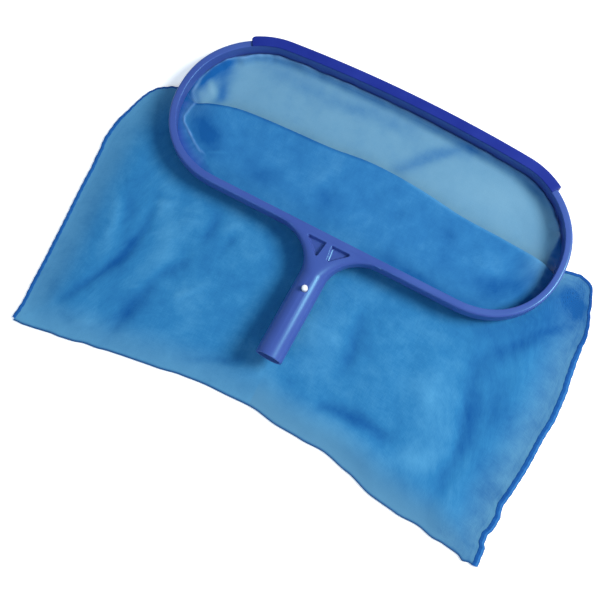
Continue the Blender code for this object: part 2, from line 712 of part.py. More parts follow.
def hem_point(share):
    """(point on the front half's hem between the panels' upper corners, way into the mouth)."""
    path = [seam_edge(0, -1)] + FRONT_HEM + [seam_edge(0, 1)]
    along = along_path(path, min(1.0, share + PROBE)) - along_path(path, max(0.0, share - PROBE))
    inwards = Vector((along.y, -along.x, 0)).normalized()
    if share in (0.0, 1.0):
        inwards = (inwards + Vector((0, -1, 0))).normalized()
    return along_path(path, share), inwards


def back_point(column, row):
    """Back panel: from the front member's hem, down to the ground and under everything."""
    share = mouth_share(column)
    if share is None:
        plan = down_panel(shoulder_point(column), column, row)
    else:
        hem, inwards = hem_point(share)
        leave = smooth(row_share(row) / HANG_FALL) * (1 - smooth(row_share(row) / HEM_SPREAD))
        plan = down_panel(hem, column, row) + inwards * HEM_LEAVE * leave
    closeness, seam_share = near_seam(plan)
    height = blend(CLOTH / 2, seam_height(seam_share) - (CLOTH + FIT) / 2, closeness)
    if share is not None and 0 < share < 1:
        hang = cloth_under(hem)
        if row:
            hang = blend(hang, CLOTH / 2, smooth(row_share(row) / HANG_FALL))
            hang = min(hang, lower_height(plan, row_share(row)) - CLOTH - FIT)
        height = max(height, hang) if row else hang
    return Vector((plan.x, plan.y, height))


def fold_point(share):
    """The fold's crest in plan; its ends are the panels' upper corners."""
    x = blend(-UPPER_CORNER.x, UPPER_CORNER.x, share)
    return Vector((x, FOLD_REACH + (UPPER_CORNER.y - FOLD_REACH) * abs(x / UPPER_CORNER.x) ** FOLD_POWER, 0))


def front_point(column, row):
    """Front panel: from the rear member's hem forward over the pocket, round the fold and back."""
    share = mouth_share(column)
    fold = shoulder_point(column) if share is None else fold_point(share)
    seam_row = row - LAP_ROWS - FOLD_ROWS
    if seam_row >= 0:
        plan = down_panel(fold, column, seam_row)
        return Vector((plan.x, plan.y, lower_height(plan, row_share(seam_row))))
    if share is None:
        return fold
    fold_low = lower_height(fold, 0.0)
    if row > LAP_ROWS:
        turn = pi * (row - LAP_ROWS) / FOLD_ROWS
        return Vector((fold.x, fold.y + FOLD_RADIUS * sin(turn),
                       fold_low + FOLD_RADIUS * (1 + cos(turn))))
    hem = along_path(REAR_HEM, share)
    plan = hem.lerp(fold, row / LAP_ROWS)
    return Vector((plan.x, plan.y, blend(cloth_under(hem), fold_low + 2 * FOLD_RADIUS, row / LAP_ROWS)))


def sheet(name, rows, mouth_rows, place, parts, root, material):
    """A grid of cloth set out by a formula; its first rows lie only between the shoulders."""
    columns = 2 * SHOULDER_STEPS + MOUTH_COLUMNS
    bm = bmesh.new()
    bmesh.ops.create_grid(bm, x_segments=columns, y_segments=rows, size=1.0)
    unused = []
    for vert in bm.verts:
        column = round((vert.co.x + 1) / 2 * columns)
        row = round((1 - vert.co.y) / 2 * rows)
        if row < mouth_rows and mouth_share(column) is None:
            unused.append(vert)
        vert.co = place(column, row)
    bmesh.ops.delete(bm, geom=unused, context="VERTS")
    panel = add_object(name, mesh_from(bm, name), parts, root, material)
    body = panel.modifiers.new("thickness", "SOLIDIFY")
    body.thickness = CLOTH
    body.offset = 0.0


def make_panels(parts, root, material):
    laps = LAP_ROWS + FOLD_ROWS
    sheet("bag_back_panel", SEAM_ROWS, 0, back_point, parts, root, material)
    sheet("bag_front_panel", laps + SEAM_ROWS, laps, front_point, parts, root, material)


def make_bindings(parts, root, material):
    """Tape along each side seam, which holds both panels' edges."""
    half = CLOTH + FIT / 2
    profile = [(-SEAM_WIDTH / 2, -half), (SEAM_WIDTH / 2, -half), (SEAM_WIDTH / 2, half),
               (-SEAM_WIDTH / 2, half)]
    for side, name in ((-1, "seam_binding_left"), (1, "seam_binding_right")):
        path = [Vector((side * point.x, point.y, seam_height(share))) for share, point in SEAM]
        path[0] += (path[1] - path[0]).normalized() * BINDING_TRIM
        add_object(name, sweep(name, path, profile, False), parts, root, material)


# ---- assembly ----

def centre_on_ground(root, parts):
    """Moves the whole net so that its box stands centred over the origin."""
    bpy.context.view_layer.update()
    graph = bpy.context.evaluated_depsgraph_get()
    points = []
    for item in parts.objects:
        shown = item.evaluated_get(graph)
        points += [item.matrix_world @ vert.co for vert in shown.to_mesh().vertices]
    for axis in (0, 1):
        values = [point[axis] for point in points]
        root.location[axis] = -(min(values) + max(values)) / 2
    root.location[2] = -min(point.z for point in points)
    bpy.context.view_layer.update()


def main():
    fresh_scene()
    parts = new_collection("leaf_skimmer_net")
    cutters = new_collection("cutters")
    root = bpy.data.objects.new("net_placement", None)
    rig = bpy.data.objects.new("hoop_placement", None)
    for empty in (root, rig):
        bpy.context.scene.collection.objects.link(empty)
    rig.parent = root
    rig.location = to_ground(0, 0, 0)
    rig.rotation_euler = (-TILT, 0, 0)

    frame_blue = new_material("frame_plastic", (0.052, 0.090, 0.370), 0.38)
    lip_blue = new_material("lip_plastic", (0.020, 0.038, 0.280), 0.42)
    strip_blue = new_material("retainer_plastic", (0.030, 0.050, 0.250), 0.50)
    cloth_blue = new_material("mesh_cloth", (0.045, 0.250, 0.560), 0.85)
    binding_blue = new_material("binding_tape", (0.020, 0.120, 0.460), 0.80)
    cord_white = new_material("cord_core", (0.70, 0.70, 0.68), 0.60)
    steel = new_material("spring_steel", (0.62, 0.62, 0.60), 0.28, 1.0)
    button_white = new_material("button_plastic", (0.86, 0.87, 0.88), 0.35)

    make_hoop(parts, cutters, rig, frame_blue)
    make_lip(parts, rig, lip_blue)
    make_strips(parts, rig, strip_blue)
    make_hem(parts, rig, binding_blue)
    make_cord(parts, rig, cord_white)
    make_clip(parts, cutters, rig, steel)
    make_button("button_upper", True, parts, rig, button_white)
    make_button("button_lower", False, parts, rig, button_white)
    make_panels(parts, root, cloth_blue)
    make_bindings(parts, root, binding_blue)
    centre_on_ground(root, parts)


main()
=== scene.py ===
import math

import bmesh
import bpy
from mathutils import Matrix, Vector, kdtree, noise


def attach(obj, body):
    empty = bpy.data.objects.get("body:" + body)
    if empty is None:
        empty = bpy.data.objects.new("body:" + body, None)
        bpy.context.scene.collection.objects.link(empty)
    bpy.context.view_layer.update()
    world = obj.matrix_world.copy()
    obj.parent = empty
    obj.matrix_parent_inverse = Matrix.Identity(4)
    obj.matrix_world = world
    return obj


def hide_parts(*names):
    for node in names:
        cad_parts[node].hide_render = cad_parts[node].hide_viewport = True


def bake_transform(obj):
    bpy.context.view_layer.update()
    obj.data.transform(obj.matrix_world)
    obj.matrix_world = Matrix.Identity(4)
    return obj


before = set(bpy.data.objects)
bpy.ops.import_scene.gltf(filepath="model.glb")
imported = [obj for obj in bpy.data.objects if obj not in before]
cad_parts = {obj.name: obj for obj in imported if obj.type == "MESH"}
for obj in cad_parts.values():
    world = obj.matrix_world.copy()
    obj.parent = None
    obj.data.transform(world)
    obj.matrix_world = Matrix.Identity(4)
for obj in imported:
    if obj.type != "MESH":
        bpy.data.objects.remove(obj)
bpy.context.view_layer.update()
noise.seed_set(7)    # without it, vector noise differs from run to run

# Where the hoop stands over the bag: it tips towards the front lip.
hoopPlace = {"tilt": 0.10576, "frontReach": 0.0958, "frontRest": 0.00165, "shift": 0.093434}
hoopPose = (Matrix.Translation((0, hoopPlace["frontReach"] + hoopPlace["shift"], hoopPlace["frontRest"]))
            @ Matrix.Rotation(-hoopPlace["tilt"], 4, "X")
            @ Matrix.Translation((0, -hoopPlace["frontReach"], 0)))


# Small tools.

def pickOnly(piece):
    bpy.ops.object.select_all(action="DESELECT")
    piece.select_set(True)
    bpy.context.view_layer.objects.active = piece


def settle(piece):
    pickOnly(piece)
    bpy.ops.object.transform_apply(location=True, rotation=True, scale=True)


def ontoHoop(piece):
    piece.matrix_world = hoopPose
    settle(piece)


def applyModifiers(piece):
    pickOnly(piece)
    for modifier in list(piece.modifiers):
        bpy.ops.object.modifier_apply(modifier=modifier.name)


def smoothOver(piece, degrees):
    pickOnly(piece)
    bpy.ops.object.shade_smooth_by_angle(angle=math.radians(degrees))


def mendMesh(piece, gap=0.000002):
    pickOnly(piece)
    bpy.ops.object.mode_set(mode="EDIT")
    bpy.ops.mesh.select_all(action="SELECT")
    bpy.ops.mesh.remove_doubles(threshold=gap)
    bpy.ops.mesh.normals_make_consistent(inside=False)
    bpy.ops.object.mode_set(mode="OBJECT")


def cutWith(piece, other, operation="DIFFERENCE"):
    modifier = piece.modifiers.new(other.name, "BOOLEAN")
    modifier.operation = operation
    modifier.solver = "EXACT"
    modifier.object = other
    applyModifiers(piece)
    bpy.data.objects.remove(other)


def ease(share):
    share = min(1.0, max(0.0, share))
    return share * share * (3 - 2 * share)


def between(start, end, share):
    return start + (end - start) * share


def curveFrom(name, points, closed, flat=False):
    curve = bpy.data.curves.new(name, "CURVE")
    curve.dimensions = "2D" if flat else "3D"
    spline = curve.splines.new("POLY")
    spline.points.add(len(points) - 1)
    for knot, point in zip(spline.points, points):
        knot.co = (point[0], point[1], point[2] if len(point) > 2 else 0.0, 1.0)
    spline.use_cyclic_u = closed
    piece = bpy.data.objects.new(name, curve)
    bpy.context.scene.collection.objects.link(piece)
    return piece


def sweep(name, rail, section, closed):    # section points are (inwards from the rail, up)
    profile = curveFrom(name + "Section", [(-inset, height) for inset, height in section], True, flat=True)
    path = curveFrom(name, rail, closed)
    path.data.twist_mode = "Z_UP"
    path.data.bevel_mode = "OBJECT"
    path.data.bevel_object = profile
    path.data.use_fill_caps = not closed
    pickOnly(path)
    bpy.ops.object.convert(target="MESH")
    bpy.data.objects.remove(profile)
    piece = bpy.context.object
    mendMesh(piece)
    return piece


def roundCorners(corners, steps):    # corners are (x, y, radius)
    outline = []
    for index, (x, y, radius) in enumerate(corners):
        here = Vector((x, y))
        before = Vector(corners[index - 1][:2]) - here
        after = Vector(corners[(index + 1) % len(corners)][:2]) - here
        if radius == 0:
            outline.append((x, y))
            continue
        half = before.angle(after) / 2
        centre = here + (before.normalized() + after.normalized()).normalized() * radius / math.sin(half)
        start = here + before.normalized() * radius / math.tan(half) - centre
        end = here + after.normalized() * radius / math.tan(half) - centre
        turn = -start.angle_signed(end)
        for step in range(steps + 1):
            spoke = Matrix.Rotation(turn * step / steps, 2) @ start
            outline.append(tuple(centre + spoke))
    return outline


def extrudeRings(name, rings):    # one circle, extruded ring by ring, each ring moved to its own shape
    bpy.ops.object.select_all(action="DESELECT")
    bpy.ops.mesh.primitive_circle_add(vertices=len(rings[0]), radius=1.0, fill_type="NOTHING")
    piece = bpy.context.object
    piece.name = name
    for vertex, point in zip(piece.data.vertices, rings[0]):
        vertex.co = point
    bpy.ops.object.mode_set(mode="EDIT")
    bpy.ops.mesh.select_all(action="SELECT")
    for ring, following in zip(rings, rings[1:]):
        bpy.ops.mesh.extrude_region_move()
        mesh = bmesh.from_edit_mesh(piece.data)
        found = kdtree.KDTree(len(ring))
        for index, point in enumerate(ring):
            found.insert(point, index)
        found.balance()
        for vertex in [item for item in mesh.verts if item.select]:
            vertex.co = following[found.find(vertex.co)[1]]
        bmesh.update_edit_mesh(piece.data)
    bpy.ops.mesh.edge_face_add()
    mesh = bmesh.from_edit_mesh(piece.data)
    openEdges = [edge for edge in mesh.edges if edge.is_boundary]
    bpy.ops.mesh.select_all(action="DESELECT")
    for edge in openEdges:
        edge.select = True
    mesh.select_flush(True)
    bmesh.update_edit_mesh(piece.data)
    bpy.ops.mesh.edge_face_add()
    bpy.ops.mesh.select_all(action="SELECT")
    bpy.ops.mesh.normals_make_consistent(inside=False)
    bpy.ops.object.mode_set(mode="OBJECT")
    return piece


def wrapTube(name, rings, closed, tones=None):    # a grid wrapped round a run of rings, its cloth map in metres
    around, rows = len(rings[0]), len(rings) - (0 if closed else 1)
    bpy.ops.object.select_all(action="DESELECT")
    bpy.ops.mesh.primitive_grid_add(x_subdivisions=around, y_subdivisions=rows, size=2.0)
    piece = bpy.context.object
    piece.name = name
    mesh = piece.data
    girth = sum((rings[0][step] - rings[0][step - 1]).length for step in range(around))
    runs = [0.0]
    for row in range(rows):
        runs.append(runs[-1] + (rings[(row + 1) % len(rings)][0] - rings[row][0]).length)
    spots = [(round((vertex.co.x + 1) / 2 * around), round((1 - vertex.co.y) / 2 * rows))
             for vertex in mesh.vertices]
    clothMap = mesh.uv_layers[0]
    clothMap.name = "clothMap"
    for loop in mesh.loops:
        column, row = spots[loop.vertex_index]
        clothMap.data[loop.index].uv = (girth * column / around, runs[row])
    # the tones stored here are light and shade painted across the tube
    if tones:
        paintedLightAndToneShare = mesh.attributes.new("paintedLightAndTone", "FLOAT", "POINT")
        for index, (column, row) in enumerate(spots):
            paintedLightAndToneShare.data[index].value = tones(column % around, row / rows)
    for vertex, (column, row) in zip(mesh.vertices, spots):
        vertex.co = rings[row % len(rings)][column % around]
    bpy.ops.object.mode_set(mode="EDIT")
    bpy.ops.mesh.select_all(action="SELECT")
    bpy.ops.mesh.remove_doubles(threshold=0.000001)
    if not closed:
        bpy.ops.mesh.fill_holes(sides=0)
        bpy.ops.mesh.select_all(action="SELECT")
    bpy.ops.mesh.normals_make_consistent(inside=False)
    bpy.ops.object.mode_set(mode="OBJECT")
    return piece


# Node tools.

def feed(tree, socket, value):
    if isinstance(value, tuple):
        socket.default_value = (*value, 1.0)
    elif isinstance(value, (int, float)):
        socket.default_value = value
    elif value is not None:
        tree.links.new(value, socket)


def newGroup(name, inputs, outputs):
    group = bpy.data.node_groups.new(name, "ShaderNodeTree")
    for label, kind, value in inputs:
        socket = group.interface.new_socket(label, in_out="INPUT", socket_type=kind)
        if value is not None:
            socket.default_value = value
    for label, kind in outputs:
        group.interface.new_socket(label, in_out="OUTPUT", socket_type=kind)
    return group, group.nodes.new("NodeGroupInput").outputs, group.nodes.new("NodeGroupOutput").inputs


def mathNode(tree, operation, *values):
    node = tree.nodes.new("ShaderNodeMath")
    node.operation = operation
    for socket, value in zip(node.inputs, values):
        feed(tree, socket, value)
    return node.outputs[0]


def clamped(tree, value):
    return mathNode(tree, "MINIMUM", mathNode(tree, "MAXIMUM", value, 0.0), 1.0)


def noiseNode(tree, place, scale, detail, roughness=0.5):
    node = tree.nodes.new("ShaderNodeTexNoise")
    for label, value in (("Vector", place), ("Scale", scale), ("Detail", detail), ("Roughness", roughness)):
        feed(tree, node.inputs[label], value)
    return node.outputs["Fac"]


def stretchedNoise(tree, place, scales, detail, roughness):
    stretch = tree.nodes.new("ShaderNodeMapping")
    stretch.inputs["Scale"].default_value = scales
    tree.links.new(place, stretch.inputs["Vector"])
    return noiseNode(tree, stretch.outputs["Vector"], 1.0, detail, roughness)


def mixColour(tree, share, first, second):
    node = tree.nodes.new("ShaderNodeMix")
    node.data_type = "RGBA"
    for socket, value in ((node.inputs["Factor"], share), (node.inputs[6], first), (node.inputs[7], second)):
        feed(tree, socket, value)
    return node.outputs[2]


# Camera, light and floor.

studio = {
    "lens": 60.0, "sensor": 36.0,
    "cameraRows": ((0.8810, -0.4578, 0.1194, 0.1165), (0.4703, 0.8749, -0.1156, -0.1600),
                   (-0.0515, 0.1580, 0.9861, 0.9935), (0.0, 0.0, 0.0, 1.0)),
    "keyPlace": (1.45, 0.80, 1.62), "keySize": 0.90, "keyPower": 66.0, "keyColour": (1.0, 0.97, 0.93),
    "fillPlace": (-0.4, -1.5, 1.5), "fillSize": 1.4, "fillPower": 10.0, "fillColour": (0.55, 0.72, 1.0),
    "skyLevel": 0.40, "skyColour": (0.64, 0.82, 1.0),
    "floorColour": (0.93, 0.935, 0.94), "floorLift": 0.42, "floorSize": 8.0, "floorLow": 0.0004,
    "floorRoughness": 0.9, "floorSheen": 0.1,
}


def addLamp(kind):
    lamp = bpy.data.lights.new(kind + "Lamp", "AREA")
    lamp.shape = "DISK"
    lamp.size = studio[kind + "Size"]
    lamp.energy = studio[kind + "Power"]
    lamp.color = studio[kind + "Colour"]
    holder = bpy.data.objects.new(kind + "Lamp", lamp)
    bpy.context.scene.collection.objects.link(holder)
    holder.location = studio[kind + "Place"]
    holder.rotation_euler = (-Vector(studio[kind + "Place"])).to_track_quat("-Z", "Y").to_euler()


def makeCamera():
    camera = bpy.data.objects.new("photoCamera", bpy.data.cameras.new("photoCamera"))
    bpy.context.scene.collection.objects.link(camera)
    camera.data.lens = studio["lens"]
    camera.data.sensor_width = studio["sensor"]
    camera.matrix_world = Matrix(studio["cameraRows"])
    bpy.context.scene.camera = camera
    bpy.context.scene.view_settings.view_transform = "Standard"


def makeRoom():    # a pale blue room that looks white to the camera
    world = bpy.data.worlds.new("paleRoom")
    bpy.context.scene.world = world
    world.use_nodes = True
    tree = world.node_tree
    path = tree.nodes.new("ShaderNodeLightPath").outputs
    seen = mathNode(tree, "MAXIMUM", path["Is Camera Ray"], path["Is Transmission Ray"])
    sky = tree.nodes["Background"].inputs
    feed(tree, sky["Strength"], mathNode(tree, "MULTIPLY_ADD", seen, 1.0 - studio["skyLevel"], studio["skyLevel"]))
    feed(tree, sky["Color"], mixColour(tree, seen, studio["skyColour"], (1.0, 1.0, 1.0)))


def makeFloor():
    bpy.ops.object.select_all(action="DESELECT")
    bpy.ops.mesh.primitive_plane_add(size=studio["floorSize"], location=(0, 0, -studio["floorLow"]))
    floor = bpy.context.object
    floor.name = "paleFloor"
    settle(floor)
    paper = bpy.data.materials.new("palePaper")
    paper.use_nodes = True
    tree = paper.node_tree
    path = tree.nodes.new("ShaderNodeLightPath").outputs
    bare = mathNode(tree, "SUBTRACT", 1.0, mathNode(tree, "MINIMUM", path["Transparent Depth"], 1.0))
    bare = mathNode(tree, "MULTIPLY", bare, path["Is Camera Ray"])    # no lift where it shows through the cloth
    shader = tree.nodes["Principled BSDF"].inputs
    for label, value in (("Base Color", studio["floorColour"]), ("Roughness", studio["floorRoughness"]),
                         ("Specular IOR Level", studio["floorSheen"]), ("Emission Color", (1.0, 1.0, 1.0)),
                         ("Emission Strength", mathNode(tree, "MULTIPLY", bare, studio["floorLift"]))):
        feed(tree, shader[label], value)
    floor.data.materials.append(paper)


makeCamera()
addLamp("key")
addLamp("fill")
makeRoom()
makeFloor()
print("camera, light and floor")


# Materials: shared effects first, then one material for each finish.

def makeMouldedSkin():
    # moulded or extruded plastic: cloudy tint, fine grain and faint handling marks
    group, entry, result = newGroup("mouldedSkin", [
        ("Place", "NodeSocketVector", None), ("Tint", "NodeSocketColor", None), ("Pale", "NodeSocketColor", None),
        ("Cloud Scale", "NodeSocketFloat", 18.0), ("Grain Scale", "NodeSocketFloat", 900.0),
        ("Smoothest", "NodeSocketFloat", 0.30), ("Roughest", "NodeSocketFloat", 0.45)],
        [("Color", "NodeSocketColor"), ("Roughness", "NodeSocketFloat"), ("Height", "NodeSocketFloat")])
    cloud = noiseNode(group, entry["Place"], entry["Cloud Scale"], 3.0)
    grain = noiseNode(group, entry["Place"], entry["Grain Scale"], 2.0)
    marks = stretchedNoise(group, entry["Place"], (90.0, 130.0, 130.0), 2.0, 0.5)
    worn = mathNode(group, "MAXIMUM", mathNode(group, "SUBTRACT", marks, 0.58), 0.0)
    pale = mathNode(group, "MULTIPLY_ADD", worn, 0.8, mathNode(group, "MULTIPLY_ADD", cloud, 1.6, -0.45))
    feed(group, result["Color"], mixColour(group, pale, entry["Tint"], entry["Pale"]))
    span = mathNode(group, "SUBTRACT", entry["Roughest"], entry["Smoothest"])
    share = mathNode(group, "MULTIPLY_ADD", marks, 0.4, mathNode(group, "MULTIPLY", cloud, 0.5))
    feed(group, result["Roughness"], mathNode(group, "MULTIPLY_ADD", share, span, entry["Smoothest"]))
    feed(group, result["Height"], mathNode(group, "MULTIPLY_ADD", grain, 0.25, mathNode(group, "MULTIPLY", cloud, 0.6)))
    return group


def makeWeave():
    # plain weave read from a UV map in metres: threads both ways, over and under, with holes between
    group, entry, result = newGroup("weave", [
        ("Place", "NodeSocketVector", None), ("Pitch", "NodeSocketFloat", 0.001),
        ("Thread Share", "NodeSocketFloat", 0.6)],
        [("Thread", "NodeSocketFloat"), ("Height", "NodeSocketFloat"), ("Slub", "NodeSocketFloat"),
         ("Fibre", "NodeSocketFloat")])
    split = group.nodes.new("ShaderNodeSeparateXYZ")
    group.links.new(entry["Place"], split.inputs["Vector"])
    ribs, cells, waves = [], [], []
    for axis in ("X", "Y"):
        cell = mathNode(group, "DIVIDE", split.outputs[axis], entry["Pitch"])
        offset = mathNode(group, "ABSOLUTE", mathNode(group, "SUBTRACT", mathNode(group, "FRACT", cell), 0.5))
        edge = mathNode(group, "MULTIPLY_ADD", entry["Thread Share"], 0.5, 0.06)
        rib = mathNode(group, "MAXIMUM", mathNode(group, "SUBTRACT", edge, offset), 0.0)
        ribs.append(mathNode(group, "SMOOTH_MIN", rib, 0.12, 0.02))
        cells.append(mathNode(group, "FLOOR", cell))
        waves.append(mathNode(group, "SINE", mathNode(group, "MULTIPLY", cell, math.pi)))
    thread = mathNode(group, "MULTIPLY", mathNode(group, "MAXIMUM", *ribs), 8.3)
    thread = mathNode(group, "MINIMUM", thread, 1.0)
    feed(group, result["Thread"], thread)
    over = mathNode(group, "SINE", mathNode(group, "MULTIPLY", mathNode(group, "ADD", *cells), math.pi))
    crimp = mathNode(group, "MULTIPLY_ADD", mathNode(group, "MULTIPLY", *waves), 0.35, thread)
    feed(group, result["Height"], mathNode(group, "ADD", crimp, over))
    feed(group, result["Slub"], noiseNode(group, entry["Place"], 60.0, 5.0, 0.62))
    streaks = [stretchedNoise(group, entry["Place"], scales, 2.0, 0.6)
               for scales in ((980.0, 110.0, 1.0), (110.0, 980.0, 1.0))]
    feed(group, result["Fibre"], mathNode(group, "MULTIPLY_ADD", mathNode(group, "ADD", *streaks), 1.4, -0.9))
    return group


mouldedSkin = makeMouldedSkin()
weave = makeWeave()


def startMaterial(name, effect, place, settings):
    material = bpy.data.materials.new(name)
    material.use_nodes = True
    tree = material.node_tree
    group = tree.nodes.new("ShaderNodeGroup")
    group.node_tree = effect
    tree.links.new(place(tree), group.inputs["Place"])
    for label, value in settings:
        feed(tree, group.inputs[label], value)
    return material, tree, tree.nodes["Principled BSDF"].inputs, group.outputs


def objectPlace(tree):
    return tree.nodes.new("ShaderNodeTexCoord").outputs["Object"]


def clothPlace(tree):
    flat = tree.nodes.new("ShaderNodeUVMap")
    flat.uv_map = "clothMap"
    return flat.outputs["UV"]


def addBump(tree, shader, height, strength):
    bump = tree.nodes.new("ShaderNodeBump")
    bump.inputs["Strength"].default_value = strength
    bump.inputs["Distance"].default_value = 0.0002
    tree.links.new(height, bump.inputs["Height"])
    tree.links.new(bump.outputs["Normal"], shader["Normal"])


def plasticFinish(name, look):
    material, tree, shader, skin = startMaterial(name, mouldedSkin, objectPlace, [
        ("Tint", look["tint"]), ("Pale", look["pale"]), ("Cloud Scale", look["cloud"]),
        ("Grain Scale", look["grain"]), ("Smoothest", look["smoothest"]), ("Roughest", look["roughest"])])
    for label, value in (("Base Color", skin["Color"]), ("Roughness", skin["Roughness"]), ("IOR", 1.49),
                         ("Specular Tint", look.get("shine", (1.0, 1.0, 1.0))),
                         ("Specular IOR Level", look.get("gloss", 0.5)), ("Metallic", look.get("metal", 0.0))):
        feed(tree, shader[label], value)
    addBump(tree, shader, skin["Height"], look["bump"])
    return material


# Shares painted on the cloth, and how far each one changes it: thinShare and openShare carry a paler colour painted for
# the light seen through single or open cloth, hemShare a violet painted shade by the wall, lineShare a painted
# highlight and edgeShare the panel's dark folded edge.
paintedShares = ("thinShare", "hemShare", "edgeShare", "openShare", "lineShare")
meshEffects = {"thinCalm": 0.5, "openShade": 0.75, "thinRaise": 0.8, "hollowCover": 0.20, "edgeCover": 0.5,
               "lineCover": 0.25}


def clothFinish(name, look):
    material, tree, shader, cloth = startMaterial(name, weave, clothPlace, [
        ("Pitch", look["pitch"]), ("Thread Share", look["thread"])])

    def painted(label):
        node = tree.nodes.new("ShaderNodeAttribute")
        node.attribute_name = label
        return node.outputs["Fac"]

    cloudy = noiseNode(tree, objectPlace(tree), look["cloudScale"], 5.0, 0.62)
    mottle = -(look["cloudGain"] + look["slubGain"] + look["fibreGain"]) / 2
    for part, gain in ((cloudy, "cloudGain"), (cloth["Slub"], "slubGain"), (cloth["Fibre"], "fibreGain")):
        mottle = mathNode(tree, "MULTIPLY_ADD", part, look[gain], mottle)
    calm = mathNode(tree, "MULTIPLY_ADD", painted("thinShare"), -meshEffects["thinCalm"], 1.0)
    # random mottle plus the painted light and shade stored on the mesh
    tone = mathNode(tree, "MULTIPLY_ADD", mottle, calm, painted("paintedLightAndTone"))
    # the light side of the tone mixes towards pale and the dark side towards deep: painted light and shade, with the
    # mottle
    mottleAndPaintedLight, mottleAndPaintedShade = clamped(tree, tone), clamped(tree, mathNode(tree, "MULTIPLY", tone, -1.0))
    shade = mixColour(tree, mottleAndPaintedLight, look["tint"], look["pale"])
    if "cover" in look:
        thin, hem, edge, opened, line = [painted(label) for label in paintedShares]
        # a paler, greyer colour painted where the cloth lies single or open, for the light seen through it, and a
        # violet painted shade on the hem band by the wall
        paler = mathNode(tree, "MULTIPLY", mathNode(tree, "MULTIPLY", mottleAndPaintedLight, thin), meshEffects["thinRaise"])
        for share, colour in ((thin, "thinTint"), (mathNode(tree, "MULTIPLY", opened, meshEffects["openShade"]),
                                                   "thinTint"), (paler, "thinPale"), (hem, "hemTint")):
            shade = mixColour(tree, share, shade, look[colour])
    shade = mixColour(tree, mottleAndPaintedShade, shade, look["deep"])
    if "cover" in look:
        # a painted highlight along the hem band's inner edge, then the panel's dark folded edge
        shade = mixColour(tree, line, shade, look["lineTint"])
        shade = mixColour(tree, edge, shade, look["edgeTint"])
        cover = look["cover"]
        # the single layer is also made more opaque where painted shade falls on it
        for share, amount in ((cloth["Thread"], look["threadCover"]), (thin, -look["thinOpen"]),
                              (mathNode(tree, "MULTIPLY", mottleAndPaintedShade, thin), meshEffects["hollowCover"]),
                              (hem, look["hemCover"]), (edge, meshEffects["edgeCover"]),
                              (line, meshEffects["lineCover"]), (opened, -look["openCover"])):
            cover = mathNode(tree, "MULTIPLY_ADD", share, amount, cover)
        feed(tree, shader["Alpha"], mathNode(tree, "MINIMUM", cover, 1.0))
    for label, value in (("Base Color", shade), ("Roughness", look["roughness"]), ("Specular IOR Level", 0.12),
                         ("Sheen Weight", look["sheen"]), ("Sheen Roughness", 0.4)):
        feed(tree, shader[label], value)
    addBump(tree, shader, cloth["Height"], look["bump"])
    return material


plastics = {
    "frameBlue": {"tint": (0.042, 0.074, 0.312), "pale": (0.056, 0.098, 0.352), "cloud": 22.0, "grain": 1400.0,
                  "smoothest": 0.26, "roughest": 0.38, "bump": 0.06, "gloss": 0.6,
                  "shine": (0.36, 0.90, 1.0)},
    "lipBlue": {"tint": (0.011, 0.021, 0.215), "pale": (0.020, 0.036, 0.280), "cloud": 30.0, "grain": 1800.0,
                "smoothest": 0.38, "roughest": 0.54, "bump": 0.06, "gloss": 0.20,
                "shine": (0.45, 0.70, 1.0)},
    "stripBlue": {"tint": (0.018, 0.038, 0.215), "pale": (0.032, 0.058, 0.275), "cloud": 40.0, "grain": 1500.0,
                  "smoothest": 0.42, "roughest": 0.60, "bump": 0.12, "shine": (0.45, 0.70, 1.0)},
    "buttonWhite": {"tint": (0.84, 0.85, 0.86), "pale": (0.92, 0.92, 0.92), "cloud": 300.0, "grain": 3000.0,
                    "smoothest": 0.22, "roughest": 0.36, "bump": 0.05},
    "springSteel": {"tint": (0.52, 0.52, 0.50), "pale": (0.68, 0.68, 0.66), "cloud": 160.0, "grain": 2500.0,
                    "smoothest": 0.22, "roughest": 0.40, "bump": 0.10, "metal": 1.0},
}
cloths = {
    # pale and deep also take the painted light and shade of the folds; thinTint and thinPale are painted light seen
    # through the single layer, hemTint a painted shade by the wall, lineTint a painted highlight
    "meshBlue": {"tint": (0.028, 0.208, 0.455), "pale": (0.090, 0.350, 0.610), "deep": (0.005, 0.095, 0.315),
                 "thinTint": (0.122, 0.312, 0.478), "thinPale": (0.205, 0.420, 0.570), "hemTint": (0.028, 0.050, 0.340),
                 "lineTint": (0.125, 0.270, 0.540), "edgeTint": (0.006, 0.060, 0.190), "pitch": 0.0011,
                 "thread": 0.62, "cover": 0.72, "threadCover": 0.18, "thinOpen": 0.02, "hemCover": 0.14,
                 "openCover": 0.10, "cloudScale": 26.0, "cloudGain": 1.3, "slubGain": 0.9, "fibreGain": 0.30,
                 "roughness": 0.85, "sheen": 0.04, "bump": 0.20},
    "tapeBlue": {"tint": (0.009, 0.098, 0.335), "pale": (0.034, 0.180, 0.450), "deep": (0.003, 0.045, 0.220),
                 "pitch": 0.0006, "thread": 0.86, "cloudScale": 60.0, "cloudGain": 0.5, "slubGain": 0.6,
                 "fibreGain": 0.8, "roughness": 0.80, "sheen": 0.05, "bump": 0.55},
    "cordWhite": {"tint": (0.66, 0.66, 0.63), "pale": (0.76, 0.76, 0.73), "deep": (0.52, 0.52, 0.49),
                  "pitch": 0.0005, "thread": 0.90, "cloudScale": 60.0, "cloudGain": 1.0, "slubGain": 0.8,
                  "fibreGain": 0.8, "roughness": 0.75, "sheen": 0.08, "bump": 0.50},
}
finishes = {name: plasticFinish(name, look) for name, look in plastics.items()}
finishes.update({name: clothFinish(name, look) for name, look in cloths.items()})
print("materials")


def dress(piece, finish, body, recordSlot, *nodes):
    piece.data.materials.clear()
    piece.data.materials.append(finishes[finish])
    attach(piece, body)
    if nodes:
        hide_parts(*nodes)


# The hoop's outline, seen from above, anticlockwise from the rear of its right end.

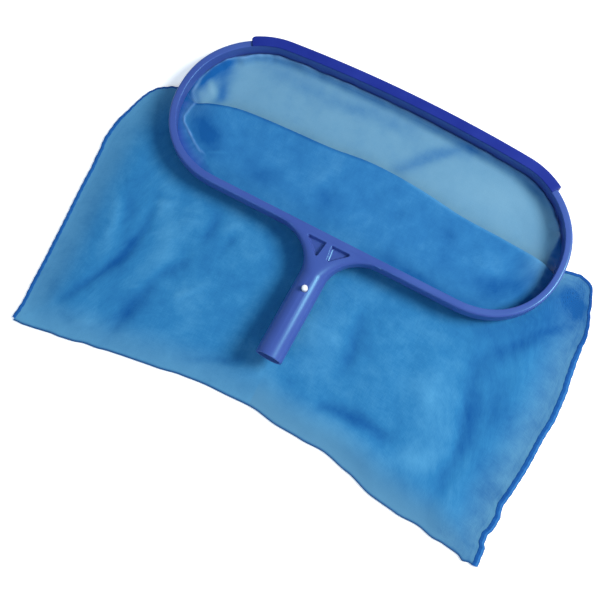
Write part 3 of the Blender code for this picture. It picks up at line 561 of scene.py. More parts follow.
hoop = {
    "halfStraight": 0.134, "endReach": 0.081, "halfDepth": 0.0803, "bow": 0.0155, "endPower": 2.15,
    "height": 0.016, "thickness": 0.0076, "outerRound": 0.0024, "innerRound": 0.0009, "footRound": 0.0005,
    "channelStart": 0.0017, "channelEnd": 0.0059, "channelDepth": 0.0125,
    "endSteps": 72, "frontSteps": 44, "rearSteps": 36,
}
halfLength = hoop["halfStraight"] + hoop["endReach"]


def bowed(x, y):
    share = max(0.0, y / hoop["halfDepth"])
    return Vector((x, y + hoop["bow"] * (1 - (x / halfLength) ** 2) * share ** 2))


def roundEnd(side, turn):
    power = 2 / hoop["endPower"]
    along = math.copysign(abs(math.sin(turn)) ** power, math.sin(turn))
    return bowed(side * (hoop["halfStraight"] + hoop["endReach"] * abs(math.cos(turn)) ** power),
                 hoop["halfDepth"] * along)


def hoopOutline():
    steps = hoop["endSteps"]
    turns = [-math.pi / 2 + math.pi * step / steps for step in range(steps + 1)]
    reach = hoop["halfStraight"]
    front = [bowed(between(reach, -reach, step / hoop["frontSteps"]), hoop["halfDepth"])
             for step in range(1, hoop["frontSteps"])]
    rear = [bowed(between(-reach, reach, step / hoop["rearSteps"]), -hoop["halfDepth"])
            for step in range(1, hoop["rearSteps"])]
    return ([roundEnd(1, turn) for turn in turns] + front + [roundEnd(-1, turn) for turn in reversed(turns)]
            + rear)


outline = hoopOutline()
leftStart = hoop["endSteps"] + hoop["frontSteps"]
leftEnd = leftStart + hoop["endSteps"]


def insetFromHoop(index, inset):
    here = outline[index % len(outline)]
    before = (here - outline[index % len(outline) - 1]).normalized()
    after = (outline[(index + 1) % len(outline)] - here).normalized()
    along = (before + after).normalized()
    return here + Vector((-along.y, along.x)) * inset


# Hoop, yoke and handle socket, moulded in one.

socket = {
    "radius": 0.014, "wall": 0.0022, "mouth": 0.207, "chamfer": 0.0006, "boreEnd": 0.110, "boreRound": 0.0005,
    "spread": 0.044, "flare": 0.036, "sink": 0.0001, "root": 0.0011, "key": 0.0034, "keyFoot": 0.0133,
    "squareness": 8.0, "around": 96, "yokeRings": 26,
    "buttonReach": 0.133, "holeRadius": 0.0034, "holeRound": 0.0006,
    "pocketHalf": 0.0249, "pocketRib": 0.0033, "pocketRibEnd": 0.0055, "pocketLength": 0.0178,
    "pocketDepth": 0.0052, "pocketRound": 0.0014, "pocketWall": 0.0014, "pocketRim": 0.0008,
    "pocketFloorRound": 0.0010, "pocketDraft": 0.0010,
}
tubeAxis = hoop["height"] - socket["radius"]


def socketRing(y, halfWidth, top, bottom, power):
    middle, half = (top + bottom) / 2, (top - bottom) / 2
    ring = []
    for step in range(socket["around"]):
        turn = 2 * math.pi * step / socket["around"]
        reach = (abs(math.cos(turn)) ** power + abs(math.sin(turn)) ** power) ** (-1 / power)
        ring.append(Vector((halfWidth * reach * math.cos(turn), y, middle + half * reach * math.sin(turn))))
    return ring


def socketRings():
    top, sink, wide = hoop["height"], socket["sink"], socket["radius"] + socket["spread"]
    root = [(socket["key"], socket["keyFoot"]), (socket["root"] + sink, socket["keyFoot"]), (socket["root"], sink)]
    rings = [socketRing(-hoop["halfDepth"] + inset, wide, top - sink, foot, socket["squareness"])
             for inset, foot in root]
    for step in range(socket["yokeRings"] + 1):
        turn = math.pi / 2 * (1 - step / socket["yokeRings"])
        share = 1 - math.sin(turn)
        rings.append(socketRing(-hoop["halfDepth"] + sink - socket["flare"] * share,
                                socket["radius"] + socket["spread"] * (1 - math.cos(turn)),
                                top - sink * (1 - share),
                                between(sink, tubeAxis - socket["radius"], ease(share)),
                                between(socket["squareness"], 2.0, math.sqrt(share))))
    for step in range(6):
        turn = math.pi / 2 * step / 5
        cut = socket["chamfer"] * (1 - math.cos(turn))
        rings.append(socketRing(-socket["mouth"] + socket["chamfer"] * (1 - math.sin(turn)),
                                socket["radius"] - cut, top - cut, tubeAxis - socket["radius"] + cut, 2.0))
    return rings


def offsetOutline(points, grow):
    grown = []
    for index, point in enumerate(points):
        here = Vector(point)
        before = (here - Vector(points[index - 1])).normalized()
        after = (Vector(points[(index + 1) % len(points)]) - here).normalized()
        along = (before + after).normalized()
        grown.append(here + Vector((along.y, -along.x)) * grow / max(0.3, along.dot(before)))
    return grown


def pocketRings(side):
    back = -hoop["halfDepth"] - socket["pocketWall"]
    corners = [(side * socket["pocketHalf"], back, socket["pocketRound"]),
               (side * socket["pocketRib"], back, socket["pocketRound"] / 2),
               (side * socket["pocketRibEnd"], back - socket["pocketLength"], socket["pocketRound"])]
    edge = roundCorners(corners if side > 0 else corners[::-1], 8)
    top, rim, low = hoop["height"], socket["pocketRim"], socket["pocketFloorRound"]
    floor = top - socket["pocketDepth"]
    draft = socket["pocketDraft"]
    levels = [(-low - draft, floor), (-low * 0.3 - draft, floor + low * 0.3), (-draft, floor + low)]
    for step in range(5):
        turn = math.pi / 2 * step / 4
        levels.append((rim * (1 - math.cos(turn)), top - socket["sink"] - rim * (1 - math.sin(turn))))
    levels.append((rim, top + 0.002))
    return [[Vector((point.x, point.y, height)) for point in offsetOutline(edge, grow)] for grow, height in levels]


def cylinderCut(name, rings, turnX):    # rings are (radius, distance along)
    steps = 64
    made = extrudeRings(name, [[Vector((radius * math.cos(2 * math.pi * step / steps),
                                        radius * math.sin(2 * math.pi * step / steps), along))
                                for step in range(steps)] for radius, along in rings])
    made.rotation_euler = (turnX, 0, 0)
    return made


def makeHoop():
    section = roundCorners([
        (0, 0, hoop["footRound"]), (0, hoop["height"], hoop["outerRound"]),
        (hoop["thickness"], hoop["height"], hoop["innerRound"]), (hoop["thickness"], 0, hoop["footRound"]),
        (hoop["channelEnd"], 0, 0), (hoop["channelEnd"], hoop["channelDepth"], 0),
        (hoop["channelStart"], hoop["channelDepth"], 0), (hoop["channelStart"], 0, 0)], 7)
    piece = sweep("hoopFrame", outline, section, True)
    cutWith(piece, extrudeRings("handleForm", socketRings()), "UNION")
    for side, word in ((-1, "Left"), (1, "Right")):
        cutWith(piece, extrudeRings("pocket" + word, pocketRings(side)))
    bore, rim = socket["radius"] - socket["wall"], socket["boreRound"]
    boreCut = cylinderCut("boreCut", [(bore, -socket["boreEnd"]), (bore, -socket["mouth"] + rim),
                                      (bore + rim * 0.3, -socket["mouth"] + rim * 0.3),
                                      (bore + rim, -socket["mouth"]), (bore + rim, -socket["mouth"] - 0.01)], 0)
    boreCut.data.transform(Matrix(((1, 0, 0, 0), (0, 0, 1, 0), (0, 1, 0, tubeAxis), (0, 0, 0, 1))))
    mendMesh(boreCut)
    cutWith(piece, boreCut)
    radius, rim, out = socket["holeRadius"], socket["holeRound"], socket["radius"]
    for turnX in (0, math.pi):
        hole = cylinderCut("buttonHole", [(radius, 0.002), (radius, out - rim), (radius + rim * 0.3, out - rim * 0.3),
                                          (radius + rim, out), (radius + rim, out + 0.004)], turnX)
        hole.location = (0, -socket["buttonReach"], tubeAxis)
        cutWith(piece, hole)
    ontoHoop(piece)
    smoothOver(piece, 30)
    dress(piece, "frameBlue", "net", "frame_plastic", "hoop_frame")
    print("hoop, yoke and handle socket")


# Front lip, clipped over the front member.

lip = {"fit": 0.0003, "proud": 0.0040, "top": 0.0013, "hook": 0.0009, "hookReach": 0.0014, "outerRound": 0.0022,
       "edgeRound": 0.00055, "innerRound": 0.0003, "endAngle": 62.3, "endRound": 0.0005, "cornerLong": 0.0085,
       "cornerDeep": 0.0036, "cornerSteps": 12}


def makeLip():
    fit, top = lip["fit"], hoop["height"] + lip["fit"]
    section = roundCorners([
        (-fit, -fit, 0), (-fit, top, 0), (hoop["thickness"], top, lip["innerRound"]),
        (hoop["thickness"], top + lip["top"], lip["edgeRound"]), (-lip["proud"], top + lip["top"], lip["outerRound"]),
        (-lip["proud"], -fit - lip["hook"], lip["edgeRound"]),
        (lip["hookReach"], -fit - lip["hook"], lip["innerRound"]), (lip["hookReach"], -fit, lip["innerRound"])], 6)
    first = round((lip["endAngle"] + 90.0) / (180.0 / hoop["endSteps"]))
    rail = outline[first:leftStart + hoop["endSteps"] - first + 1]
    piece = sweep("frontLip", rail, section, False)
    along = (rail[-1] - rail[-2]).normalized()
    out, past = Vector((along.y, -along.x)), 0.002
    corner = rail[-1] + out * lip["proud"]
    back, deep = along * lip["cornerLong"], out * lip["cornerDeep"]
    wedge = [corner - back + out * past, corner + (along + out) * past, corner + along * past - deep]
    for step in range(lip["cornerSteps"] + 1):
        turn = math.pi / 2 * (1 - step / lip["cornerSteps"])
        wedge.append(corner - back - deep + deep * math.cos(turn) + back * math.sin(turn))
    cutWith(piece, extrudeRings("cornerCut", [[Vector((spot.x, spot.y, height)) for spot in wedge]
                                              for height in (-0.004, 0.024)]))
    soften = piece.modifiers.new("soften", "BEVEL")
    soften.width = lip["endRound"]
    soften.segments = 3
    soften.limit_method = "ANGLE"
    soften.angle_limit = math.radians(60)
    soften.use_clamp_overlap = False
    applyModifiers(piece)
    ontoHoop(piece)
    smoothOver(piece, 40)
    dress(piece, "lipBlue", "net", "lip_plastic", "front_lip")
    print("front lip")


makeHoop()
makeLip()


# Buttons, each turned from a profile.

button = {"radius": 0.0030, "proud": 0.0052, "dome": 0.0018, "flangeTop": 0.01052, "flangeRadius": 0.0042,
          "flange": 0.0010, "neck": 0.0012, "tailTop": 0.00842, "tail": 0.0008, "tailRadius": 0.0022, "steps": 56,
          "domeSteps": 9, "domePower": 0.9, "edge": 0.0002}


def makeButtons():
    tip, tail, edge = socket["radius"] + button["proud"], button["tailTop"], button["edge"]
    foot = button["flangeTop"] - button["flange"]
    profile = []
    for step in range(button["domeSteps"] + 1):
        turn = math.pi / 2 * step / button["domeSteps"]
        profile.append((button["radius"] * math.sin(turn) ** button["domePower"],
                        tip - button["dome"] * (1 - math.cos(turn))))
    profile += [(button["radius"], button["flangeTop"]), (button["flangeRadius"] - edge, button["flangeTop"]),
                (button["flangeRadius"], button["flangeTop"] - edge), (button["flangeRadius"], foot),
                (button["neck"], foot), (button["neck"], tail), (button["tailRadius"], tail),
                (button["tailRadius"], tail - button["tail"] + edge),
                (button["tailRadius"] - edge, tail - button["tail"]), (0.0, tail - button["tail"])]
    for name, node, body, turn in (("buttonUpper", "button_upper", "upper_button", 0),
                                   ("buttonLower", "button_lower", "lower_button", math.pi)):
        bpy.ops.object.select_all(action="DESELECT")
        bpy.ops.mesh.primitive_circle_add(vertices=len(profile), radius=1.0, fill_type="NOTHING")
        piece = bpy.context.object
        piece.name = name
        for vertex, (radius, height) in zip(piece.data.vertices, profile):
            vertex.co = (radius, 0, height)
        bpy.ops.object.mode_set(mode="EDIT")
        mesh = bmesh.from_edit_mesh(piece.data)
        mesh.verts.ensure_lookup_table()
        closing = mesh.edges.get((mesh.verts[0], mesh.verts[len(profile) - 1]))
        mesh.edges.remove(closing)
        bmesh.update_edit_mesh(piece.data)
        bpy.ops.mesh.select_all(action="SELECT")
        bpy.ops.mesh.spin(steps=button["steps"], angle=2 * math.pi, center=(0, 0, 0), axis=(0, 0, 1))
        bpy.ops.object.mode_set(mode="OBJECT")
        mendMesh(piece, 0.00001)
        piece.location = (0, -socket["buttonReach"], tubeAxis)
        piece.rotation_euler = (turn, 0, 0)
        settle(piece)
        ontoHoop(piece)
        smoothOver(piece, 40)
        dress(piece, "buttonWhite", body, "button_plastic", node)
    print("buttons")


makeButtons()


# Spring clip: its two legs part at the bend's middle, each a half of the clip's solid in the steel finish.


def makeSpringLegs():
    whole = bpy.data.objects["spring_clip"]
    for name, side, body in (("springUpperLeg", 1, "upper_button"), ("springLowerLeg", -1, "lower_button")):
        leg = bpy.data.objects.new(name, whole.data.copy())
        bpy.context.scene.collection.objects.link(leg)
        leg.matrix_world = hoopPose.inverted() @ whole.matrix_world
        settle(leg)
        bpy.ops.object.mode_set(mode="EDIT")
        bpy.ops.mesh.select_all(action="SELECT")
        bpy.ops.mesh.bisect(plane_co=(0, 0, tubeAxis), plane_no=(0, 0, side), use_fill=True, clear_inner=True)
        bpy.ops.object.mode_set(mode="OBJECT")
        mendMesh(leg)
        ontoHoop(leg)
        smoothOver(leg, 30)
        leg.data.materials.clear()
        leg.data.materials.append(finishes["springSteel"])
        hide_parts("spring_clip")
        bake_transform(leg)
    print("spring clip")


makeSpringLegs()


# Snap-in strips: the solids keep their shape and take the strip's finish.

for node in ("retainer_front", "retainer_rear", "retainer_left", "retainer_right"):
    for materialSlot in bpy.data.objects[node].material_slots:
        materialSlot.material = finishes["stripBlue"]
print("snap-in strips")


# Bag: the same plan as the solids, in finer steps, with the seams' run measured along a smooth curve.

bag = {
    "halfWidth": 0.2625, "reach": 0.2880, "bottomRise": 0.0360, "bottomPower": 1.6,
    "foldRadius": 0.0011, "pocketGap": 0.0060, "cloth": 0.0012, "fit": 0.0003,
    "seamWidth": 0.0046, "panelInset": 0.0008, "seamStart": 0.0075, "seamFall": 0.14, "hangFall": 0.05,
    "hemLeave": 0.016, "hemSpread": 0.60, "shoulderRun": 0.14, "sideRise": 0.045, "bottomFall": 0.12,
    "hemInset": 0.0053, "endFall": 0.22,
    "shoulderColumns": 26, "mouthColumns": 260, "rows": 140, "lapRows": 60, "foldRows": 12, "curlRows": 6,
    "rowCrowding": 1.35,
    "seamShape": [(0.00, -0.002), (0.24, 0.003), (0.52, 0.017), (0.73, 0.066), (0.88, 0.153), (0.96, 0.243),
                  (1.00, 0.382), (0.98, 0.556), (0.91, 0.747), (0.86, 0.910), (0.91, 1.000)],
}
lowerMiddle = bag["cloth"] * 1.5 + bag["pocketGap"]

# How the bag lies: its outline pushed outwards in mm at shares of each seam and along the bottom, where the
# lap's fold runs, and the soft folds as lines on the ground in mm, each with a width, a height and a tone that paints
# light and shade: lighter on lit ridges, darker in creases, with some patches of shadow from the hoop.
layOut = {
    "right": [(0, 0), (0.022, 9.5), (0.05, 13.0), (0.066, 15.0), (0.088, 15.6), (0.115, 11.0), (0.148, 8.2),
              (0.18, 8.4), (0.216, 7.8), (0.26, 5.0), (0.30, 4.0), (0.35, 4.6), (0.405, 6.4), (0.457, 7.0),
              (0.49, 7.6), (0.56, 6.2), (0.667, 6.8), (0.737, 6.2), (0.796, 4.8), (0.838, 8.2), (0.868, 8.2),
              (0.898, 5.8), (0.923, 6.6), (0.942, 9.2), (1.0, 8.2)],
    "left": [(0, 0), (0.02, 2.0), (0.05, 1.0), (0.08, -1.2), (0.11, 0.0), (0.14, 0.6), (0.22, 0.8),
             (0.28, 2.2), (0.34, 2.2), (0.40, -0.7), (0.46, -2.6), (0.64, -3.6), (0.76, -3.0), (0.88, -2.0),
             (1.0, -4.0)],
    "bottom": [(-262, -1.0), (-254, -1.7), (-240, -3.6), (-227, -4.2), (-214, -4.5), (-201, -5.9), (-188, -6.1),
               (-176, -4.9), (-163, -5.6), (-150, -4.8), (-125, -4.6), (-99, -4.2), (-74, -2.1), (-49, -1.5),
               (-22, -2.3), (5, -1.9), (34, -4.6), (62, -3.3), (88, -0.6), (117, -3.4), (148, -8.0), (177, -7.2),
               (203, -3.6), (217, -4.6), (231, -2.6), (247, -1.6), (253, -3.2), (260, -0.2), (266, 0.6)],
    "reachIn": 0.085, "bottomReach": 0.060,
    "fold": [(-197, -7), (-180, 0), (-150, 8), (-100, 12), (-50, 14), (0, 19), (50, 17), (100, 11), (150, 9),
             (190, 6)],
    "folds": [
        ([(-183, -106), (-180, -143), (-189, -187), (-205, -224), (-221, -251)], 6, -1.5, -0.80),
        ([(-205, -112), (-197, -160)], 11, -0.4, -0.35),
        ([(-150, -200), (-155, -231), (-163, -268)], 9, -1.4, -0.70),
        ([(-119, -98), (-119, -130)], 6, -0.9, -0.55),
        ([(-94, -110), (-96, -130)], 5, -0.7, -0.45),
        ([(-123, -154), (-142, -176), (-149, -206)], 6, -0.9, -0.45),
        ([(-84, -245), (-55, -231), (-23, -210)], 5, -1.0, -0.55),
        ([(-213, -262), (-199, -264)], 5, -0.5, -0.45),
        ([(59, -118), (64, -152), (69, -183)], 8, -1.2, -0.60),
        ([(65, -218), (108, -214), (146, -217)], 7, -1.4, -0.85),
        ([(180, -120), (188, -149), (201, -183), (199, -215), (196, -251)], 8, -1.5, -0.70),
        ([(229, -42), (208, -73), (186, -106)], 8, -1.1, -0.70),
        ([(207, -128), (216, -176)], 17, -0.6, -0.50),
        ([(232, -205), (238, -240)], 15, -0.4, -0.45),
        ([(-178, -107), (-172, -118)], 13, 1.3, 0.60),
        ([(-221, -136), (-212, -165), (-204, -188)], 8, 1.3, 0.50),
        ([(-153, -132), (-150, -180)], 13, 1.3, 0.50),
        ([(-108, -178), (-100, -186)], 17, 1.5, 0.50),
        ([(-162, -200), (-158, -205)], 9, 0.8, 0.35),
        ([(-188, -252), (-184, -260)], 14, 1.2, 0.60),
        ([(-103, -100), (-97, -110)], 10, 1.0, 0.35),
        ([(-70, -112), (-64, -122)], 13, 1.0, 0.30),
        ([(-142, -112), (-141, -122)], 9, 0.9, 0.40),
        ([(30, -150), (37, -175)], 22, 1.6, 0.55),
        ([(88, -135), (90, -160)], 16, 0.8, -0.10),
        ([(147, -140), (155, -165), (176, -200)], 21, 1.8, 0.55),
        ([(14, -148), (12, -162)], 12, 0.8, 0.30),
        ([(45, -240), (62, -242)], 11, 0.8, 0.40),
        ([(-191, -14), (-175, -28), (-159, -42)], 12, -0.7, -1.00),
        ([(-170, -13), (-162, -25), (-154, -37)], 12, -0.3, -0.55),
        ([(47, -66), (105, -68), (156, -66)], 7, -0.5, -0.75),
        ([(90, -4), (98, -18)], 9, -0.6, -0.45),
        ([(42, -8), (48, -20)], 8, -0.4, -0.25),
        ([(-60, -30), (-30, -12)], 14, 0.7, 0.35),
        ([(130, -30), (150, -18)], 12, 0.7, 0.35),
        ([(20, 28), (46, 60), (84, 84)], 7, -0.9, -0.55),
        ([(75, 44), (110, 48), (155, 46)], 17, 1.2, 0.45),
        ([(-204, 40), (-199, 26), (-198, 4)], 10, -0.5, -1.15),
        ([(-193, 54), (-187, 42), (-182, 26)], 9, -0.3, -0.85),
        ([(-194, 22), (-184, 10)], 3.5, 0.2, 1.00),
        ([(-150, 60), (-60, 66), (20, 74)], 9, -0.3, -0.30),
        ([(-180, 26), (-177, 14), (-182, 4)], 5, -0.2, -0.80),
        ([(236, 2), (238, -12)], 15, -0.3, -0.60),
        ([(170, 62), (190, 40), (196, 8)], 9, -0.2, 0.35),
        ([(238, -12), (243, -42), (244, -75)], 20, -0.5, -0.60),
        ([(255, -113), (251, -160)], 13, -0.3, -0.40),
        ([(212, -26), (230, -19), (246, -22)], 11, -0.4, -0.95),
        ([(52, -238), (84, -238), (122, -236)], 13, 0.8, 0.45),
        ([(150, -222), (190, -213)], 14, 0.5, 0.60),
        ([(5, -246), (25, -250), (45, -250)], 10, 0.5, 0.60),
        ([(220, -22), (208, -46), (190, -70), (165, -84)], 11, -0.2, -0.55),
        ([(-28, -200), (-4, -216)], 11, 0.6, 0.55),
        ([(-160, -50), (-152, -46), (-141, -40)], 1.6, 0.4, 0.45),
        ([(133, -38), (162, -38), (182, -16)], 12, -0.3, -0.70),
        ([(-30, -26), (-16, -52)], 13, -0.3, -0.55),
        ([(-124, -39), (-86, -43)], 12, -0.3, -0.50),
    ],
    # round the mouth: the hoop's outline index, how far in the hem's edge lies, how bright the highlight painted on it
    # is, and the tone its band is painted, mostly shade by the wall
    "mouthEdge": [(0, 2.0, 0.0, -0.4), (10, 3.0, 0.0, -0.5), (18, 5.0, 0.0, -0.6), (26, 8.0, 0.0, -0.7),
                  (32, 9.5, 0.0, -0.8), (37, 12.0, 0.0, -0.9), (42, 11.0, 0.0, -1.1), (46, 7.0, 0.1, -1.3),
                  (49, 3.4, 0.3, -1.0), (53, 5.5, 0.2, -1.0), (57, 4.6, 0.3, -0.8), (63, 4.3, 0.4, -0.4),
                  (72, 3.4, 0.5, -0.1), (84, 3.8, 0.5, 0.0), (96, 3.4, 0.5, 0.0), (107, 3.8, 0.6, 0.0),
                  (115, 3.4, 0.6, -0.1), (122, 4.0, 0.6, -0.2), (127, 4.6, 0.7, -0.4), (130, 6.2, 0.7, -0.6),
                  (131.5, 4.4, 0.6, -0.7), (133, 3.0, 0.5, -0.8), (137, 2.8, 0.4, -0.9), (141, 2.6, 0.4, -0.9),
                  (146, 2.8, 0.4, -0.9), (149, 3.8, 0.6, -0.8), (151, 4.0, 0.6, -0.8), (152.3, 8.8, 0.7, -0.8),
                  (153.8, 13.5, 0.9, -0.8), (156, 11.2, 0.8, -0.7), (160, 7.5, 0.9, -0.6), (162, 8.1, 1.0, -0.4),
                  (166, 13.2, 1.0, -0.2), (168, 14.7, 1.0, -0.1), (172, 16.3, 0.9, 0.1), (176, 17.0, 0.8, 0.1),
                  (177.5, 18.6, 0.5, 0.1), (179, 19.0, 0.1, 0.1), (182, 14.0, 0.0, 0.0), (187, 7.0, 0.0, -0.2),
                  (192, 3.0, 0.0, -0.6)],
}


def readOff(table, where, column=1, soft=True):
    for (start, end) in zip(table, table[1:]):
        if where <= end[0]:
            share = min(1.0, max(0.0, (where - start[0]) / (end[0] - start[0])))
            return between(start[column], end[column], ease(share) if soft else share)
    return table[-1][column]


def foldHeight(x, y):    # all in mm; how far the soft folds lift or sink the cloth at a spot, and the light and shade painted there
    height, tone = 0.0, 0.0
    for line, width, rise, shade in layOut["folds"]:
        reach = 2.6 * width
        acrosses, ups = zip(*line)
        if not (min(acrosses) - reach < x < max(acrosses) + reach and min(ups) - reach < y < max(ups) + reach):
            continue
        nearest, part = 1e9, 0.0
        for index, (start, end) in enumerate(zip(line, line[1:])):
            stepX, stepY = end[0] - start[0], end[1] - start[1]
            share = ((x - start[0]) * stepX + (y - start[1]) * stepY) / (stepX * stepX + stepY * stepY)
            share = min(1.0, max(0.0, share))
            away = math.hypot(x - start[0] - stepX * share, y - start[1] - stepY * share)
            if away < nearest:
                nearest, part = away, (index + share) / (len(line) - 1)
        if nearest < reach:
            near = math.exp(-(nearest / width) ** 2) * (0.45 + 0.55 * math.sin(math.pi * part))
            height += rise * near
            tone += shade * near
    return height, tone


def smoothCurve(points, steps):
    padded = [points[0] * 2 - points[1]] + points + [points[-1] * 2 - points[-2]]
    curve = []
    for before, start, end, after in zip(padded, padded[1:], padded[2:], padded[3:]):
        for step in range(steps):
            share = step / steps
            curve.append((start * 2 + (end - before) * share
                          + (before * 2 - start * 5 + end * 4 - after) * share ** 2
                          + (start * 3 - before - end * 3 + after) * share ** 3) / 2)
    return curve + [points[-1]]


def measured(points):    # the points with the share of the run at each
    lengths = [0.0]
    for before, after in zip(points, points[1:]):
        lengths.append(lengths[-1] + (after - before).length)
    return [length / lengths[-1] for length in lengths], points


def alongRun(run, share):
    shares, points = run
    share = min(1.0, max(0.0, share))
    low, high = 0, len(shares) - 1
    while high - low > 1:
        middle = (low + high) // 2
        if shares[middle] <= share:
            low = middle
        else:
            high = middle
    step = shares[high] - shares[low]
    return points[low].lerp(points[high], (share - shares[low]) / step if step else 0.0)


seamRun = measured(smoothCurve([Vector((between(halfLength - bag["hemInset"], bag["halfWidth"], across),
                                        -bag["reach"] * down, 0)) for across, down in bag["seamShape"]], 24))
seamFinder = kdtree.KDTree(401)
for seamStep in range(401):
    seamFinder.insert(alongRun(seamRun, seamStep / 400), seamStep)
seamFinder.balance()


def seamHeight(share):
    return between(bag["seamStart"], bag["cloth"] + bag["fit"] / 2, ease(share / bag["seamFall"]))


def seamInset(share, side, inset):
    along = (alongRun(seamRun, share + 0.01) - alongRun(seamRun, share - 0.01)).normalized()
    edge = alongRun(seamRun, share) + Vector((along.y, -along.x, 0)) * inset
    return Vector((side * edge.x, edge.y, 0))


upperCorner = seamInset(0.0, 1, bag["panelInset"])
shoulderCorner = seamInset(bag["shoulderRun"], 1, bag["panelInset"])
lowerCorner = seamInset(1.0, 1, bag["panelInset"])


def nearSeam(point):
    _, index, distance = seamFinder.find(Vector((abs(point.x), point.y, 0)))
    return 1 - ease((distance - bag["seamWidth"] / 2) / bag["sideRise"]), index / 400, distance


def rowShare(row):
    return min(1.0, row / bag["rows"]) ** bag["rowCrowding"]


def sideAt(down):
    return seamInset(bag["shoulderRun"] + (1 - bag["shoulderRun"]) * down, 1, bag["panelInset"])


def columnShare(column):
    shoulders, mouth = bag["shoulderColumns"], bag["mouthColumns"]
    span = upperCorner.x / shoulderCorner.x
    if column < shoulders:
        part = bag["shoulderRun"] * (1 - column / shoulders)
        return (1 - seamInset(part, 1, bag["panelInset"]).x / shoulderCorner.x) / 2
    if column > shoulders + mouth:
        return 1 - columnShare(2 * shoulders + mouth - column)
    return between((1 - span) / 2, (1 + span) / 2, (column - shoulders) / mouth)


def mouthShare(column):
    share = (column - bag["shoulderColumns"]) / bag["mouthColumns"]
    return share if 0 <= share <= 1 else None


def shoulderPoint(column):
    shoulders = bag["shoulderColumns"]
    if column < shoulders:
        return seamInset(bag["shoulderRun"] * (1 - column / shoulders), -1, bag["panelInset"])
    return seamInset(bag["shoulderRun"] * (column - shoulders - bag["mouthColumns"]) / shoulders, 1,
                     bag["panelInset"])


def overGround(x, y, z):
    point = hoopPose @ Vector((x, y, z))
    return Vector((point.x, point.y - hoopPlace["shift"], point.z))


def hemRun(first, last):
    spots = [insetFromHoop(index, bag["hemInset"]) for index in range(first, last + 1)]
    return [overGround(spot.x, spot.y, 0.0) for spot in spots]


rightMiddle = hoop["endSteps"] // 2
leftMiddle = leftStart + hoop["endSteps"] // 2
frontHem = measured([seamInset(0.0, -1, bag["panelInset"])] + hemRun(rightMiddle + 2, leftMiddle - 2)[::-1]
                    + [seamInset(0.0, 1, bag["panelInset"])])
rearHem = measured(hemRun(leftMiddle + 2, len(outline) + rightMiddle - 2))


def clothUnder(point):
    return point.z - bag["fit"] - bag["cloth"] / 2


def downPanel(top, across, down):
    x = between(-lowerCorner.x, lowerCorner.x, across)
    rise = bag["bottomRise"] * (1 - abs(x / lowerCorner.x) ** bag["bottomPower"])
    plan = Vector((top.x, top.y, 0)).lerp(Vector((x, lowerCorner.y + rise, 0)), down)
    bulge = sideAt(down) - shoulderCorner.lerp(lowerCorner, down)
    return plan + Vector((bulge.x * (2 * across - 1), bulge.y, 0))


def lowerHeight(plan, down):
    closeness, share, _ = nearSeam(plan)
    inside = (1 - closeness) * ease((1 - down) / bag["bottomFall"])
    return between(seamHeight(share) + (bag["cloth"] + bag["fit"]) / 2, lowerMiddle, inside)


def hemWay(share):    # a point on the front half's hem, and the way from there into the mouth
    along = alongRun(frontHem, share + 0.01) - alongRun(frontHem, share - 0.01)
    inwards = Vector((along.y, -along.x, 0)).normalized()
    corner = 1 - ease(min(share, 1 - share) / 0.03)
    return alongRun(frontHem, share), inwards.lerp(Vector((0, -1, 0)), corner * 0.6).normalized()


def backPoint(column, row):
    share, across, down = mouthShare(column), columnShare(column), rowShare(row)
    if share is None:
        plan = downPanel(shoulderPoint(column), across, down)
    else:
        hem, inwards = hemWay(share)
        fall = between(bag["endFall"], bag["hangFall"], ease(min(share, 1 - share) / 0.30))
        leave = ease(down / fall) * (1 - ease(down / bag["hemSpread"]))
        plan = downPanel(hem, across, down) + inwards * bag["hemLeave"] * leave
    closeness, seamShare, _ = nearSeam(plan)
    height = between(bag["cloth"] / 2, seamHeight(seamShare) - (bag["cloth"] + bag["fit"]) / 2, closeness)
    if share is not None and 0 < share < 1:
        hang = clothUnder(hem)
        edge = ease(min(share, 1 - share) / 0.02)
        if row:
            hang = between(hang, bag["cloth"] / 2, ease(down / fall))
            under = lowerHeight(plan, down) - bag["cloth"] - bag["fit"]
            beyond = plan.y - foldPoint((plan.x / upperCorner.x + 1) / 2).y
            hang = between(min(hang, under), hang, ease((beyond - 0.004) / 0.020))
        height = between(height, max(height, hang) if row else hang, edge)
    return Vector((plan.x, plan.y, height))


foldRun = smoothCurve([Vector((-upperCorner.x, upperCorner.y, 0))]
                      + [Vector((x / 1000, y / 1000, 0)) for x, y in layOut["fold"]]
                      + [Vector((upperCorner.x, upperCorner.y, 0))], 8)


def foldPoint(share):
    x = between(-upperCorner.x, upperCorner.x, share)
    return Vector((x, readOff([(point.x, point.y) for point in foldRun], x, soft=False), 0))


def frontPoint(column, row):
    share, across = mouthShare(column), columnShare(column)
    fold = shoulderPoint(column) if share is None else foldPoint(share)
    seamRow = row - bag["lapRows"] - bag["foldRows"]
    if seamRow >= 0:
        down = rowShare(seamRow)
        plan = downPanel(fold, across, down)
        return Vector((plan.x, plan.y, lowerHeight(plan, down)))
    if share is None:
        return Vector((fold.x, fold.y, lowerHeight(fold, 0.0)))
    foldLow = lowerHeight(fold, 0.0)
    if row > bag["lapRows"]:
        turn = math.pi * (row - bag["lapRows"]) / bag["foldRows"]
        return Vector((fold.x, fold.y + bag["foldRadius"] * math.sin(turn),
                       foldLow + bag["foldRadius"] * (1 + math.cos(turn))))
    hem = alongRun(rearHem, share)
    part = row / bag["lapRows"]
    plan = hem.lerp(fold, part)
    return Vector((plan.x, plan.y, between(foldLow + 2 * bag["foldRadius"], clothUnder(hem), (1 - part) ** 1.6)))


def seamOut(share, side):    # outwards from a side seam in plan
    along = (alongRun(seamRun, share + 0.006) - alongRun(seamRun, share - 0.006)).normalized()
    return Vector((-along.y * side, along.x, 0))


